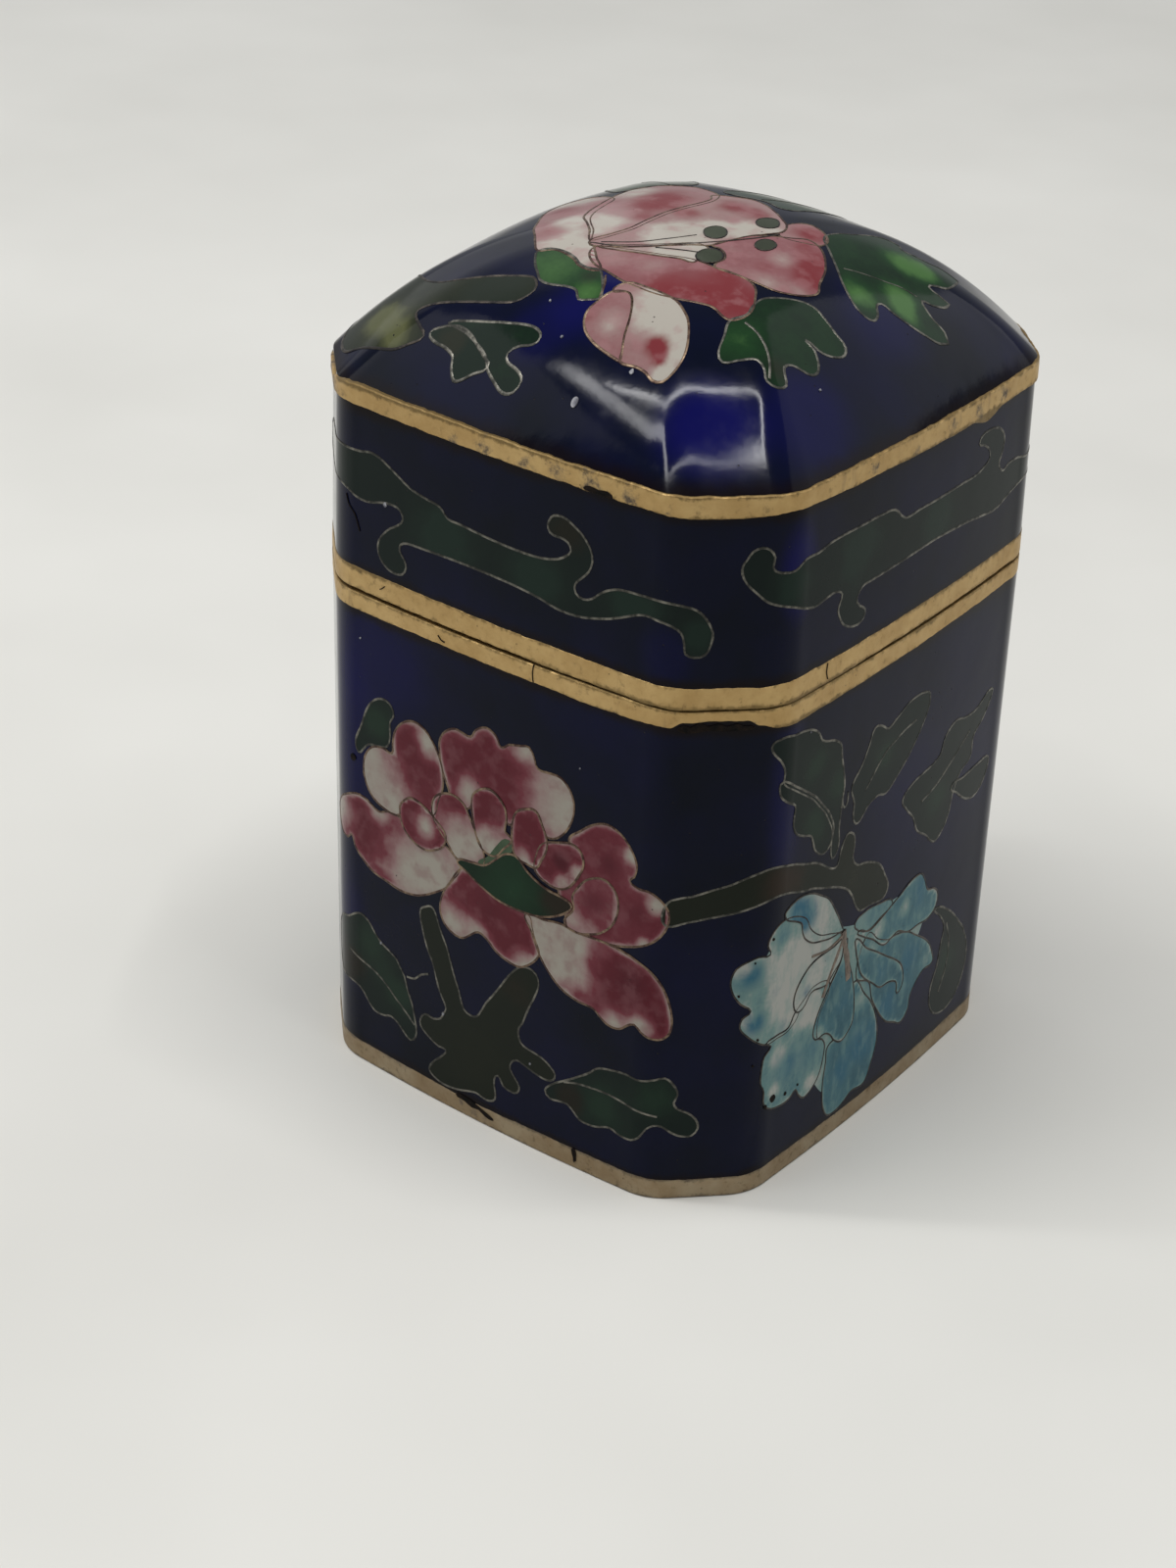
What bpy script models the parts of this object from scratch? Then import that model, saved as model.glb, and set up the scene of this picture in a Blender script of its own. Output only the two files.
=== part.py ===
# A small square cloisonne jar with cut corners and a domed lift-off lid.
# Copper walls carry the enamel, and brass strips edge them at the foot, the mouth, the lid and its shoulder.
# Metres, +Z up. The origin is on the surface it stands on, under the middle of the jar.
import math

import bmesh
import bpy

mm = 0.001

# plan of the jar, measured outside the enamel
width = 46.0 * mm           # along X, across the two side faces
depth = 48.0 * mm           # along Y, front face to back face
corner_cut = 6.4 * mm       # leg of each cut corner
corner_ease = 2.2 * mm      # how far each plan corner is softened along its two faces
least_ease = 0.6 * mm       # the same, deep inside the walls
face_bow = 0.48 * mm        # how far each broad face swells at its middle

# walls
copper_thickness = 0.6 * mm
enamel_thickness = 1.1 * mm
floor_thickness = 1.7 * mm
foot_recess = 0.5 * mm      # the underside stands this far above the foot's lower edge

# heights
body_height = 46.0 * mm     # foot to mouth
lid_wall_height = 17.3 * mm
dome_rise = 10.75 * mm
lid_lean = 0.32 * mm        # how far the lid's wall leans in by its shoulder
seam = 0.3 * mm             # between the mouth and the lid that rests on it

# brass edging strips, let into the enamel
joint_gap = 0.3 * mm        # round a strip, where the solder is
strip_ease = 0.22 * mm      # softened outer edges of a strip
foot_strip_height = 1.9 * mm
mouth_strip_height = 1.85 * mm
lid_strip_height = 2.0 * mm
shoulder_strip_height = 2.0 * mm
shoulder_proud = 0.2 * mm   # the shoulder strip stands out this far

# neck inside the mouth, which the lid slips over
neck_thickness = 0.7 * mm
neck_clearance = 0.3 * mm
neck_rise = 4.0 * mm        # above the mouth
neck_root = 5.0 * mm        # below the mouth

# dome of the lid
dome_power = 3.2            # higher is flatter on top with fuller shoulders
dome_roundness = 1.07       # 1 turns the level lines into circles at the crown
outer_dome_shares = (1.0, 0.97, 0.93, 0.87, 0.79, 0.69, 0.57, 0.44, 0.3, 0.15)
inner_dome_shares = (1.0, 0.9, 0.75, 0.58, 0.38, 0.16)

# points along the plan
corner_points = 5
face_points = 4

# how the plan shrinks for each unit that it is moved inwards
cut_loss = 2 - math.sqrt(2)
ease_loss = math.tan(math.radians(22.5))

# worked out from the sizes above
wall = copper_thickness + enamel_thickness
strip_thickness = enamel_thickness - joint_gap
lid_base = body_height + seam
shoulder_top = lid_base + lid_wall_height

enamel_blue = (0.008, 0.010, 0.055, 1.0)
gilt_brass = (0.60, 0.42, 0.19, 1.0)


def blend(first, second, share):
    return tuple(a + (b - a) * share for a, b in zip(first, second))


# Plan corners of the jar, moved inwards by inset.
def plan_corners(inset):
    half_x = width / 2 - inset
    half_y = depth / 2 - inset
    cut = corner_cut - inset * cut_loss
    return [
        (cut - half_x, -half_y),
        (half_x - cut, -half_y),
        (half_x, cut - half_y),
        (half_x, half_y - cut),
        (half_x - cut, half_y),
        (cut - half_x, half_y),
        (-half_x, half_y - cut),
        (-half_x, cut - half_y),
    ]


# The plan outline: softened corners, bowed broad faces and straight cut corners.
def outline(inset):
    corners = plan_corners(inset)
    ease = max(corner_ease - inset * ease_loss, least_ease)
    points = []
    for i, here in enumerate(corners):
        before, after = corners[i - 1], corners[(i + 1) % len(corners)]
        start = blend(here, before, ease / math.dist(here, before))
        end = blend(here, after, ease / math.dist(here, after))
        for k in range(corner_points):
            t = k / (corner_points - 1)
            points.append(blend(blend(start, here, t), blend(here, end, t), t))
        starts_broad_face = i % 2 == 0
        if starts_broad_face:
            far = blend(after, here, ease / math.dist(here, after))
            run = math.dist(end, far)
            out_x, out_y = (far[1] - end[1]) / run, (end[0] - far[0]) / run
            for k in range(1, face_points + 1):
                t = k / (face_points + 1)
                swell = 4 * face_bow * t * (1 - t)
                x, y = blend(end, far, t)
                points.append((x + out_x * swell, y + out_y * swell))
    return points


# The jar stands straight up to the seam. Above it, the lid's wall leans in.
def level_ring(inset, height):
    share = min(max(height - lid_base, 0.0) / lid_wall_height, 1.0)
    return [(x, y, height) for x, y in outline(inset + lid_lean * share)]


# One level line of the dome: share is 1 at the shoulder and 0 at the crown.
def dome_ring(inset, base, rise, share):
    round_share = dome_roundness * (1 - share)
    round_radius = width / 2 - inset - lid_lean
    height = base + rise * (1 - share**dome_power)
    points = []
    for x, y in outline(inset + lid_lean):
        radius = math.hypot(x, y)
        wanted = share * (radius + (round_radius - radius) * round_share)
        points.append((x * wanted / radius, y * wanted / radius, height))
    return points


def make_material(name, colour, roughness, metallic):
    material = bpy.data.materials.new(name)
    material.use_nodes = True
    shader = material.node_tree.nodes["Principled BSDF"]
    shader.inputs["Base Color"].default_value = colour
    shader.inputs["Roughness"].default_value = roughness
    shader.inputs["Metallic"].default_value = metallic
    return material


# Extrudes the first ring through the others, one after another, and returns the first and last rings' edges.
def extrude_rings(shape, rings):
    place = shape.verts.layers.int.new("place")
    verts = [shape.verts.new(point) for point in rings[0]]
    for i, vert in enumerate(verts):
        vert[place] = i
    first = [shape.edges.new((verts[i - 1], verts[i])) for i in range(len(verts))]
    last = first
    for ring in rings[1:]:
        grown = bmesh.ops.extrude_edge_only(shape, edges=last)["geom"]
        tips = {item for item in grown if isinstance(item, bmesh.types.BMVert)}
        last = [edge for tip in tips for edge in tip.link_edges if edge.other_vert(tip) in tips]
        last = list(dict.fromkeys(last))
        for tip in tips:
            tip.co = ring[tip[place]]
    return first, last


def finish_piece(name, shape, material, parent):
    bmesh.ops.recalc_face_normals(shape, faces=shape.faces)
    if shape.calc_volume(signed=True) < 0:
        bmesh.ops.reverse_faces(shape, faces=shape.faces)
    mesh = bpy.data.meshes.new(name)
    shape.to_mesh(mesh)
    shape.free()
    mesh.shade_smooth()
    mesh.set_sharp_from_angle(angle=math.radians(30))
    mesh.materials.append(material)
    piece = bpy.data.objects.new(name, mesh)
    piece.parent = parent
    bpy.context.scene.collection.objects.link(piece)


# A vessel: its profile runs from the middle of the outside to the middle of the inside.
def make_shell(name, rings, material, parent):
    shape = bmesh.new()
    for end in extrude_rings(shape, rings):
        cap = bmesh.ops.contextual_create(shape, geom=end)["faces"]
        bmesh.ops.poke(shape, faces=cap)
    finish_piece(name, shape, material, parent)


# A brass strip round the outside, from low to high, with its outer edges eased.
def make_strip(name, low, height, proud, material, parent):
    high = low + height
    rings = [
        level_ring(strip_thickness, low),
        level_ring(strip_ease - proud, low),
        level_ring(-proud, low + strip_ease),
        level_ring(-proud, high - strip_ease),
        level_ring(strip_ease - proud, high),
        level_ring(strip_thickness, high),
    ]
    shape = bmesh.new()
    first, last = extrude_rings(shape, rings)
    bmesh.ops.bridge_loops(shape, edges=first + last)
    finish_piece(name, shape, material, parent)


# The jar below the lid, with its neck. The enamel stops short of the foot strip and the mouth strip.
def make_body(material, parent):
    enamel_low = foot_strip_height + joint_gap
    enamel_high = body_height - mouth_strip_height - joint_gap
    neck_outside = wall + neck_clearance
    neck_inside = neck_outside + neck_thickness
    rings = [
        level_ring(enamel_thickness, foot_recess),
        level_ring(enamel_thickness, enamel_low),
        level_ring(0.0, enamel_low),
        level_ring(0.0, enamel_high),
        level_ring(enamel_thickness, enamel_high),
        level_ring(enamel_thickness, body_height),
        level_ring(neck_outside, body_height),
        level_ring(neck_outside, body_height + neck_rise),
        level_ring(neck_inside, body_height + neck_rise),
        level_ring(neck_inside, body_height - neck_root),
        level_ring(wall, body_height - neck_root),
        level_ring(wall, foot_recess + floor_thickness),
    ]
    make_shell("jar_body", rings, material, parent)


# The lid: a wall with a dome over it. The enamel stops short of the lid strip and the shoulder strip.
def make_lid(material, parent):
    enamel_low = lid_base + lid_strip_height + joint_gap
    enamel_high = shoulder_top - shoulder_strip_height - joint_gap
    dome_base = shoulder_top + joint_gap
    outer_rise = dome_rise - joint_gap
    inner_base = shoulder_top - wall
    rings = [dome_ring(0.0, dome_base, outer_rise, share) for share in reversed(outer_dome_shares)]
    rings += [
        level_ring(enamel_thickness, dome_base),
        level_ring(enamel_thickness, enamel_high),
        level_ring(0.0, enamel_high),
        level_ring(0.0, enamel_low),
        level_ring(enamel_thickness, enamel_low),
        level_ring(enamel_thickness, lid_base),
        level_ring(wall, lid_base),
    ]
    rings += [dome_ring(wall, inner_base, dome_rise, share) for share in inner_dome_shares]
    make_shell("lid_shell", rings, material, parent)


def clear_scene():
    for old in list(bpy.data.objects):
        bpy.data.objects.remove(old)


def main():
    clear_scene()
    enamel = make_material("cobalt enamel", enamel_blue, 0.12, 0.0)
    gilt = make_material("gilt brass", gilt_brass, 0.38, 1.0)
    jar = bpy.data.objects.new("cloisonne jar", None)
    bpy.context.scene.collection.objects.link(jar)
    make_body(enamel, jar)
    make_lid(enamel, jar)
    make_strip("foot_strip", 0.0, foot_strip_height, 0.0, gilt, jar)
    make_strip("mouth_strip", body_height - mouth_strip_height, mouth_strip_height, 0.0, gilt, jar)
    make_strip("lid_strip", lid_base, lid_strip_height, 0.0, gilt, jar)
    shoulder_low = shoulder_top - shoulder_strip_height
    make_strip("shoulder_strip", shoulder_low, shoulder_strip_height, shoulder_proud, gilt, jar)


main()
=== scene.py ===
# Small cloisonne jar: a dark cobalt ground, an enamel picture in wire cells and worn gilt bands.
# The picture is drawn flat, in millimetres, and wrapped onto the walls and the dome.
import bisect
import math

import bmesh
import bpy
from mathutils import Matrix, Vector, noise


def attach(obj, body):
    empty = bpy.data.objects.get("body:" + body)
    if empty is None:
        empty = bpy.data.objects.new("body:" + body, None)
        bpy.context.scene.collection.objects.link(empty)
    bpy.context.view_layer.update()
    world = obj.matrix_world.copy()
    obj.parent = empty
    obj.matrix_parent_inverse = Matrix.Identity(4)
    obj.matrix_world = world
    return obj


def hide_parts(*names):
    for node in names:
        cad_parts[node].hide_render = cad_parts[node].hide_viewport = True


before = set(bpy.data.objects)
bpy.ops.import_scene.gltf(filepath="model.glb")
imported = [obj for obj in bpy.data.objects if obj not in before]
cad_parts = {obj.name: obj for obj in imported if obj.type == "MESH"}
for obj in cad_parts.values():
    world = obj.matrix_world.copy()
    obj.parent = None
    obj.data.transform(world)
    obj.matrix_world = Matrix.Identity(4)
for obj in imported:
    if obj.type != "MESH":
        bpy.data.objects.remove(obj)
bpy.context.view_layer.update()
mm = 0.001

jar = {
    "width": 46.0,
    "depth": 48.0,
    "cornerCut": 6.4,
    "cornerEase": 2.2,
    "leastEase": 0.6,
    "faceBow": 0.48,
    "bodyTop": 46.0,
    "lidBase": 46.3,
    "lidWall": 17.3,
    "lidLean": 0.32,
    "domeRise": 10.75,
    "domePower": 3.2,
    "domeRoundness": 1.07,
    "wall": 1.7,
    "cornerPoints": 15,
    "facePoints": 30,
}
shoulderTop = jar["lidBase"] + jar["lidWall"]


# the jar's form

def between(first, second, share):
    return tuple(a + (b - a) * share for a, b in zip(first, second))


# plan of the jar, moved inwards by inset: softened corners and bowed broad faces
def planOutline(inset):
    cornerPoints, facePoints = jar["cornerPoints"], jar["facePoints"]
    halfX = jar["width"] / 2 - inset
    halfY = jar["depth"] / 2 - inset
    cut = jar["cornerCut"] - inset * (2 - math.sqrt(2))
    ease = max(jar["cornerEase"] - inset * math.tan(math.radians(22.5)), jar["leastEase"])
    corners = [(cut - halfX, -halfY), (halfX - cut, -halfY), (halfX, cut - halfY), (halfX, halfY - cut),
               (halfX - cut, halfY), (cut - halfX, halfY), (-halfX, halfY - cut), (-halfX, cut - halfY)]
    points = []
    for i, here in enumerate(corners):
        before, after = corners[i - 1], corners[(i + 1) % 8]
        start = between(here, before, ease / math.dist(here, before))
        end = between(here, after, ease / math.dist(here, after))
        for k in range(cornerPoints):
            t = k / (cornerPoints - 1)
            points.append(between(between(start, here, t), between(here, end, t), t))
        if i % 2 == 0:
            far = between(after, here, ease / math.dist(here, after))
            run = math.dist(end, far)
            outX, outY = (far[1] - end[1]) / run, (end[0] - far[0]) / run
            for k in range(1, facePoints + 1):
                t = k / (facePoints + 1)
                swell = 4 * jar["faceBow"] * t * (1 - t)
                x, y = between(end, far, t)
                points.append((x + outX * swell, y + outY * swell))
    return points


# the wall unrolled: s runs round the plan from the middle of the front cut corner, towards the right face
planPoints = planOutline(0.0)
planReach = [0.0]
for i in range(len(planPoints)):
    planReach.append(planReach[-1] + math.dist(planPoints[i], planPoints[(i + 1) % len(planPoints)]))
roundTheJar = planReach[-1]
cornerEnd = 2 * jar["cornerPoints"] + jar["facePoints"] - 1
planStart = (planReach[cornerEnd] + planReach[cornerEnd + 1]) / 2
# where the wall turns: the middle of each softened corner
turns = []
for i in range(8):
    index = jar["cornerPoints"] * i + jar["facePoints"] * ((i + 1) // 2) + jar["cornerPoints"] // 2
    turns.append(planReach[index] - planStart)
planNormals = []
for i in range(len(planPoints)):
    a, b = planPoints[i - 1], planPoints[(i + 1) % len(planPoints)]
    run = math.dist(a, b)
    planNormals.append(((b[1] - a[1]) / run, (a[0] - b[0]) / run))


def onWall(s, z, lift):
    along = (s + planStart) % roundTheJar
    i = min(bisect.bisect_right(planReach, along), len(planPoints)) - 1
    j = (i + 1) % len(planPoints)
    share = (along - planReach[i]) / (planReach[i + 1] - planReach[i])
    x, y = between(planPoints[i], planPoints[j], share)
    nx, ny = between(planNormals[i], planNormals[j], share)
    out = lift - jar["lidLean"] * min(max((z - jar["lidBase"]) / jar["lidWall"], 0.0), 1.0)
    return Vector(((x + nx * out) * mm, (y + ny * out) * mm, z * mm))


# the dome seen from above: x and y in plan
domeRim = sorted((math.atan2(y, x), math.hypot(x, y)) for x, y in planOutline(jar["lidLean"]))
domeAngles = [angle for angle, reach in domeRim]


def domeHeight(x, y):
    reach = math.hypot(x, y)
    angle = math.atan2(y, x)
    i = bisect.bisect_right(domeAngles, angle) % len(domeRim)
    a0, r0 = domeRim[i - 1]
    a1, r1 = domeRim[i]
    rim = r0 + (r1 - r0) * (((angle - a0) % math.tau) / ((a1 - a0) % math.tau))
    extra = (jar["width"] / 2 - jar["lidLean"] - rim) * jar["domeRoundness"]
    # solves reach = share * (rim + extra * (1 - share)) for the share
    if abs(extra) < 1e-9:
        share = reach / rim
    else:
        share = ((rim + extra) - math.sqrt(max((rim + extra) ** 2 - 4 * extra * reach, 0.0))) / (2 * extra)
    return shoulderTop + jar["domeRise"] * (1 - min(share, 1.0) ** jar["domePower"])


def onDome(x, y, lift):
    step = 0.05
    slopeX = (domeHeight(x + step, y) - domeHeight(x - step, y)) / (2 * step)
    slopeY = (domeHeight(x, y + step) - domeHeight(x, y - step)) / (2 * step)
    normal = Vector((-slopeX, -slopeY, 1.0)).normalized()
    return (Vector((x, y, domeHeight(x, y))) + normal * lift) * mm


# materials

# one material as it is made: its nodes, its shader and the place on the piece
class Paint:
    def __init__(self, name):
        self.material = bpy.data.materials.new(name)
        self.material.use_nodes = True
        self.nodes = self.material.node_tree.nodes
        self.links = self.material.node_tree.links
        self.shader = self.nodes["Principled BSDF"]
        self.place = self.nodes.new("ShaderNodeTexCoord").outputs["Object"]

    # a number or colour is set on the socket itself, and anything else is linked to it
    def feed(self, socket, value):
        if isinstance(value, tuple):
            socket.default_value = (*value, 1.0)
        elif isinstance(value, (int, float)):
            socket.default_value = value
        else:
            self.links.new(value, socket)

    def look(self, name, value):
        self.feed(self.shader.inputs[name], value)

    # size in millimetres
    def noise(self, size, detail=3.0, roughness=0.5, stretch=None):
        node = self.nodes.new("ShaderNodeTexNoise")
        node.inputs["Scale"].default_value = 1.0 / (size * mm)
        node.inputs["Detail"].default_value = detail
        node.inputs["Roughness"].default_value = roughness
        place = self.place
        if stretch:
            mapping = self.nodes.new("ShaderNodeMapping")
            mapping.inputs["Scale"].default_value = stretch
            self.links.new(place, mapping.inputs["Vector"])
            place = mapping.outputs["Vector"]
        self.links.new(place, node.inputs["Vector"])
        return node.outputs["Fac"]

    # runs softly from start to end as the value runs from low to high
    def fade(self, value, low, high, start=0.0, end=1.0):
        node = self.nodes.new("ShaderNodeMapRange")
        node.interpolation_type = "SMOOTHSTEP"
        for name, number in (("From Min", low), ("From Max", high), ("To Min", start), ("To Max", end)):
            node.inputs[name].default_value = number
        self.links.new(value, node.inputs["Value"])
        return node.outputs["Result"]

    def calc(self, kind, first, second=0.0):
        node = self.nodes.new("ShaderNodeMath")
        node.operation = kind
        self.feed(node.inputs[0], first)
        self.feed(node.inputs[1], second)
        return node.outputs[0]

    def plus(self, first, second):
        return self.calc("ADD", first, second)

    def minus(self, first, second):
        return self.calc("SUBTRACT", first, second)

    def times(self, first, second):
        return self.calc("MULTIPLY", first, second)

    # a noise turned into a swing about nothing
    def swing(self, value, amount):
        return self.times(self.minus(value, 0.5), amount)

    def mix(self, share, first, second):
        node = self.nodes.new("ShaderNodeMix")
        node.data_type = "RGBA"
        for name, kind, value in (("Factor", "VALUE", share), ("A", "RGBA", first), ("B", "RGBA", second)):
            self.feed([s for s in node.inputs if s.name == name and s.type == kind][0], value)
        return [s for s in node.outputs if s.type == "RGBA"][0]

    def ramp(self, value, stops):
        node = self.nodes.new("ShaderNodeValToRGB")
        elements = node.color_ramp.elements
        elements[0].position, elements[-1].position = stops[0][0], stops[-1][0]
        for position, colour in stops[1:-1]:
            elements.new(position)
        for element, (position, colour) in zip(elements, stops):
            element.color = (*colour, 1.0)
        self.links.new(value, node.inputs["Fac"])
        return node.outputs["Color"]

    def attribute(self, name):
        node = self.nodes.new("ShaderNodeAttribute")
        node.attribute_name = name
        return node.outputs["Fac"]

    def bump(self, height, strength, distance=1.0):
        node = self.nodes.new("ShaderNodeBump")
        node.inputs["Strength"].default_value = strength
        node.inputs["Distance"].default_value = distance * mm
        self.links.new(height, node.inputs["Height"])
        self.links.new(node.outputs["Normal"], self.shader.inputs["Normal"])

    # round specks, one to a square of this size, left out of all but a share of the squares
    def specks(self, size, radius, kept):
        cells = self.nodes.new("ShaderNodeTexVoronoi")
        cells.inputs["Scale"].default_value = 1.0 / (size * mm)
        self.links.new(self.place, cells.inputs["Vector"])
        spot = self.fade(cells.outputs["Distance"], radius * 0.6, radius, 1.0, 0.0)
        draw = self.nodes.new("ShaderNodeSeparateColor")
        self.links.new(cells.outputs["Color"], draw.inputs["Color"])
        return self.times(spot, self.calc("LESS_THAN", draw.outputs[0], kept))

    # how far a place is from a middle; a tall spot counts its heights for less
    def distance(self, middle, tall):
        squeeze = self.nodes.new("ShaderNodeVectorMath")
        squeeze.operation = "MULTIPLY"
        squeeze.inputs[1].default_value = (1.0, 1.0, 1.0 / tall)
        self.links.new(self.place, squeeze.inputs[0])
        apart = self.nodes.new("ShaderNodeVectorMath")
        apart.operation = "DISTANCE"
        apart.inputs[1].default_value = (middle.x, middle.y, middle.z / tall)
        self.links.new(squeeze.outputs["Vector"], apart.inputs[0])
        return apart.outputs["Value"]


# sizes and depths in millimetres; each fade is low, high, start and end
enamel = {
    "cobalt": (0.0010, 0.0027, 0.0085),
    "cobaltLit": (0.0022, 0.0034, 0.022),
    # painted highlight colour: the bright royal blue of enamel where light catches it
    "paintedLitBlue": (0.004, 0.003, 0.12),
    "bandSideDark": (0.0045, 0.0018, 0.0015),
    "gloss": 0.07,
    "glossWear": 0.07,
    "specular": 0.095,
    "cloudSize": 11.0,
    "pits": {"size": 1.3, "radius": 0.07, "kept": 0.35},
    "pitColour": (0.012, 0.01, 0.01),
    "pitShare": 0.75,
    "pitRoughness": 0.4,
    "pitDepth": 0.05,
    "wearSize": 3.0,
    "waveSize": 5.0,
    "waveDepth": 0.045,
    "skinSize": 0.45,
    "skinDepth": 0.004,
    "bump": 0.6,
    # heights beside a band, where the blue is made darker and browner towards the band, and how far that
    # reaches past the band
    "bandSides": [(1.9, 2.7), (44.4, 43.4), (48.1, 49.0), (62.0, 60.9), (63.5, 64.9)],
    "bandSideReach": 1.5,
    "bandSideShare": 0.85,
    "bandSideWobbleSize": 1.6,
    "bandSideWobbleSwing": 0.9,
    # painted highlight: places on the dome painted a brighter royal blue where light catches the enamel: x,
    # y, radius, share
    "domePaintedLight": [(15.6, -18.8, 5.6, 0.50), (2.0, -13.5, 6.0, 0.36), (-1.0, -17.5, 4.0, 0.2),
                 (20.0, -12.0, 6.0, 0.22), (17.0, 2.0, 6.0, 0.16)],
    # painted highlight: places on the walls painted a brighter royal blue where light catches the enamel: s,
    # z, radius, how tall it is for its width, share
    "wallPaintedLight": [(5.6, 57.0, 2.6, 2.0, 0.42), (5.8, 38.0, 2.6, 4.0, 0.22), (-4.8, 50.5, 3.0, 1.2, 0.14),
                 (-33.0, 40.0, 8.0, 1.0, 0.20), (-37.5, 14.0, 3.0, 3.0, 0.16), (-36.5, 32.0, 4.0, 3.0, 0.2),
                 (-10.0, 40.0, 8.0, 0.8, 0.06), (22.0, 34.0, 9.0, 0.8, 0.05), (30.0, 24.0, 18.0, 1.6, 0.07)],
    "paintedLightCore": 0.3,
}


def finishEnamel(paint, colour, gloss=enamel["gloss"]):
    specks = paint.specks(**enamel["pits"])
    pitted = paint.mix(paint.times(specks, enamel["pitShare"]), colour, enamel["pitColour"])
    paint.look("Base Color", pitted)
    paint.look("Specular IOR Level", enamel["specular"])
    wear = paint.noise(enamel["wearSize"], 5.0, 0.6)
    rough = paint.fade(wear, 0.35, 0.75, gloss, gloss + enamel["glossWear"])
    paint.look("Roughness", paint.plus(rough, paint.times(specks, enamel["pitRoughness"])))
    waves = paint.times(paint.noise(enamel["waveSize"], 2.0), enamel["waveDepth"])
    skin = paint.times(paint.noise(enamel["skinSize"]), enamel["skinDepth"])
    height = paint.minus(paint.plus(waves, skin), paint.times(specks, enamel["pitDepth"]))
    paint.bump(height, enamel["bump"])
    return paint.material


def cobaltGround():
    paint = Paint("cobaltGround")
    clouds = paint.noise(enamel["cloudSize"], 3.0, 0.55)
    colour = paint.ramp(clouds, [(0.35, enamel["cobalt"]), (0.7, enamel["cobaltLit"])])
    # painted highlight: round each place the ground is mixed towards bright royal blue, as if light caught
    # the enamel there
    paintedLights = [(onDome(x, y, 0.0), radius, 1.0, share) for x, y, radius, share in enamel["domePaintedLight"]]
    paintedLights += [(onWall(s, z, 0.0), radius, tall, share) for s, z, radius, tall, share in enamel["wallPaintedLight"]]
    for middle, radius, tall, share in paintedLights:
        apart = paint.distance(middle, tall)
        near = paint.fade(apart, radius * enamel["paintedLightCore"] * mm, radius * mm, share, 0.0)
        colour = paint.mix(near, colour, enamel["paintedLitBlue"])
    # beside each band the blue is made darker and browner, fading out over a short reach, with a wobbling
    # edge
    axes = paint.nodes.new("ShaderNodeSeparateXYZ")
    paint.links.new(paint.place, axes.inputs["Vector"])
    bandSideWobble = paint.swing(paint.noise(enamel["bandSideWobbleSize"]), enamel["bandSideWobbleSwing"] * mm)
    level = paint.plus(axes.outputs["Z"], bandSideWobble)
    for band, far in enamel["bandSides"]:
        if band < far:
            bandSideDark = paint.fade(level, band * mm, far * mm, enamel["bandSideShare"], 0.0)
        else:
            bandSideDark = paint.fade(level, far * mm, band * mm, 0.0, enamel["bandSideShare"])
        past = paint.calc("ABSOLUTE", paint.minus(level, band * mm))
        within = paint.calc("LESS_THAN", past, enamel["bandSideReach"] * mm)
        colour = paint.mix(paint.times(bandSideDark, within), colour, enamel["bandSideDark"])
    return finishEnamel(paint, colour)


shading = {
    "grainSize": 1.15,
    "fineSize": 0.35,
    "fineShare": 0.35,
    "toneFade": (0.12, 0.85),
    "blushSize": 0.7,
    "blushFade": (0.46, 0.7, 0.0, 0.4),
}


# enamel that fades from its strong colour to its pale one by the cell's own pale attribute
def shadedEnamel(name, stops, tone, feather=0.42, size=2.2, blush=None, stretch=None):
    paint = Paint(name)
    pale = paint.attribute("pale")
    grain = paint.noise(size * shading["grainSize"], stretch=stretch)
    fine = paint.noise(shading["fineSize"], 2.0)
    shift = paint.plus(paint.swing(grain, feather), paint.swing(fine, feather * shading["fineShare"]))
    colour = paint.ramp(paint.plus(pale, shift), stops)
    toned = paint.fade(paint.plus(paint.attribute("tone"), shift), *shading["toneFade"])
    colour = paint.mix(toned, colour, tone)
    if blush:
        soft = paint.noise(size * shading["blushSize"], stretch=stretch)
        colour = paint.mix(paint.fade(soft, *shading["blushFade"]), colour, blush)
    return finishEnamel(paint, colour)


brass = {
    "cloudSize": 3.2,
    "grimeSize": 0.7,
    "grimeColour": (0.11, 0.075, 0.035),
    "grimeFade": (0.56, 0.72, 0.0),
    "edgeSwing": 1.6,
    "edgeFade": (0.45, 1.05, 0.0, 0.9),
    "streakSize": 1.3,
    "streakColour": (0.16, 0.10, 0.05),
    "streakFade": (0.62, 0.74, 0.0, 0.3),
    "specks": {"size": 0.8, "radius": 0.10, "kept": 0.25},
    "speckColour": (0.05, 0.035, 0.02),
    "speckShare": 0.7,
    "wornColour": (0.03, 0.022, 0.02),
    "wornShare": 0.8,
    "wornSwing": 1.9,
    "wornFade": (0.3, 0.95, 0.0, 0.9),
    "metalFade": (0.35, 0.7, 0.62, 0.1),
    "roughFade": (0.3, 0.7, 0.42, 0.6),
    "scratchSize": 0.5,
    "scratchDepth": 0.02,
    "grimeDepth": 0.03,
    "bump": 0.7,
}


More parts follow.
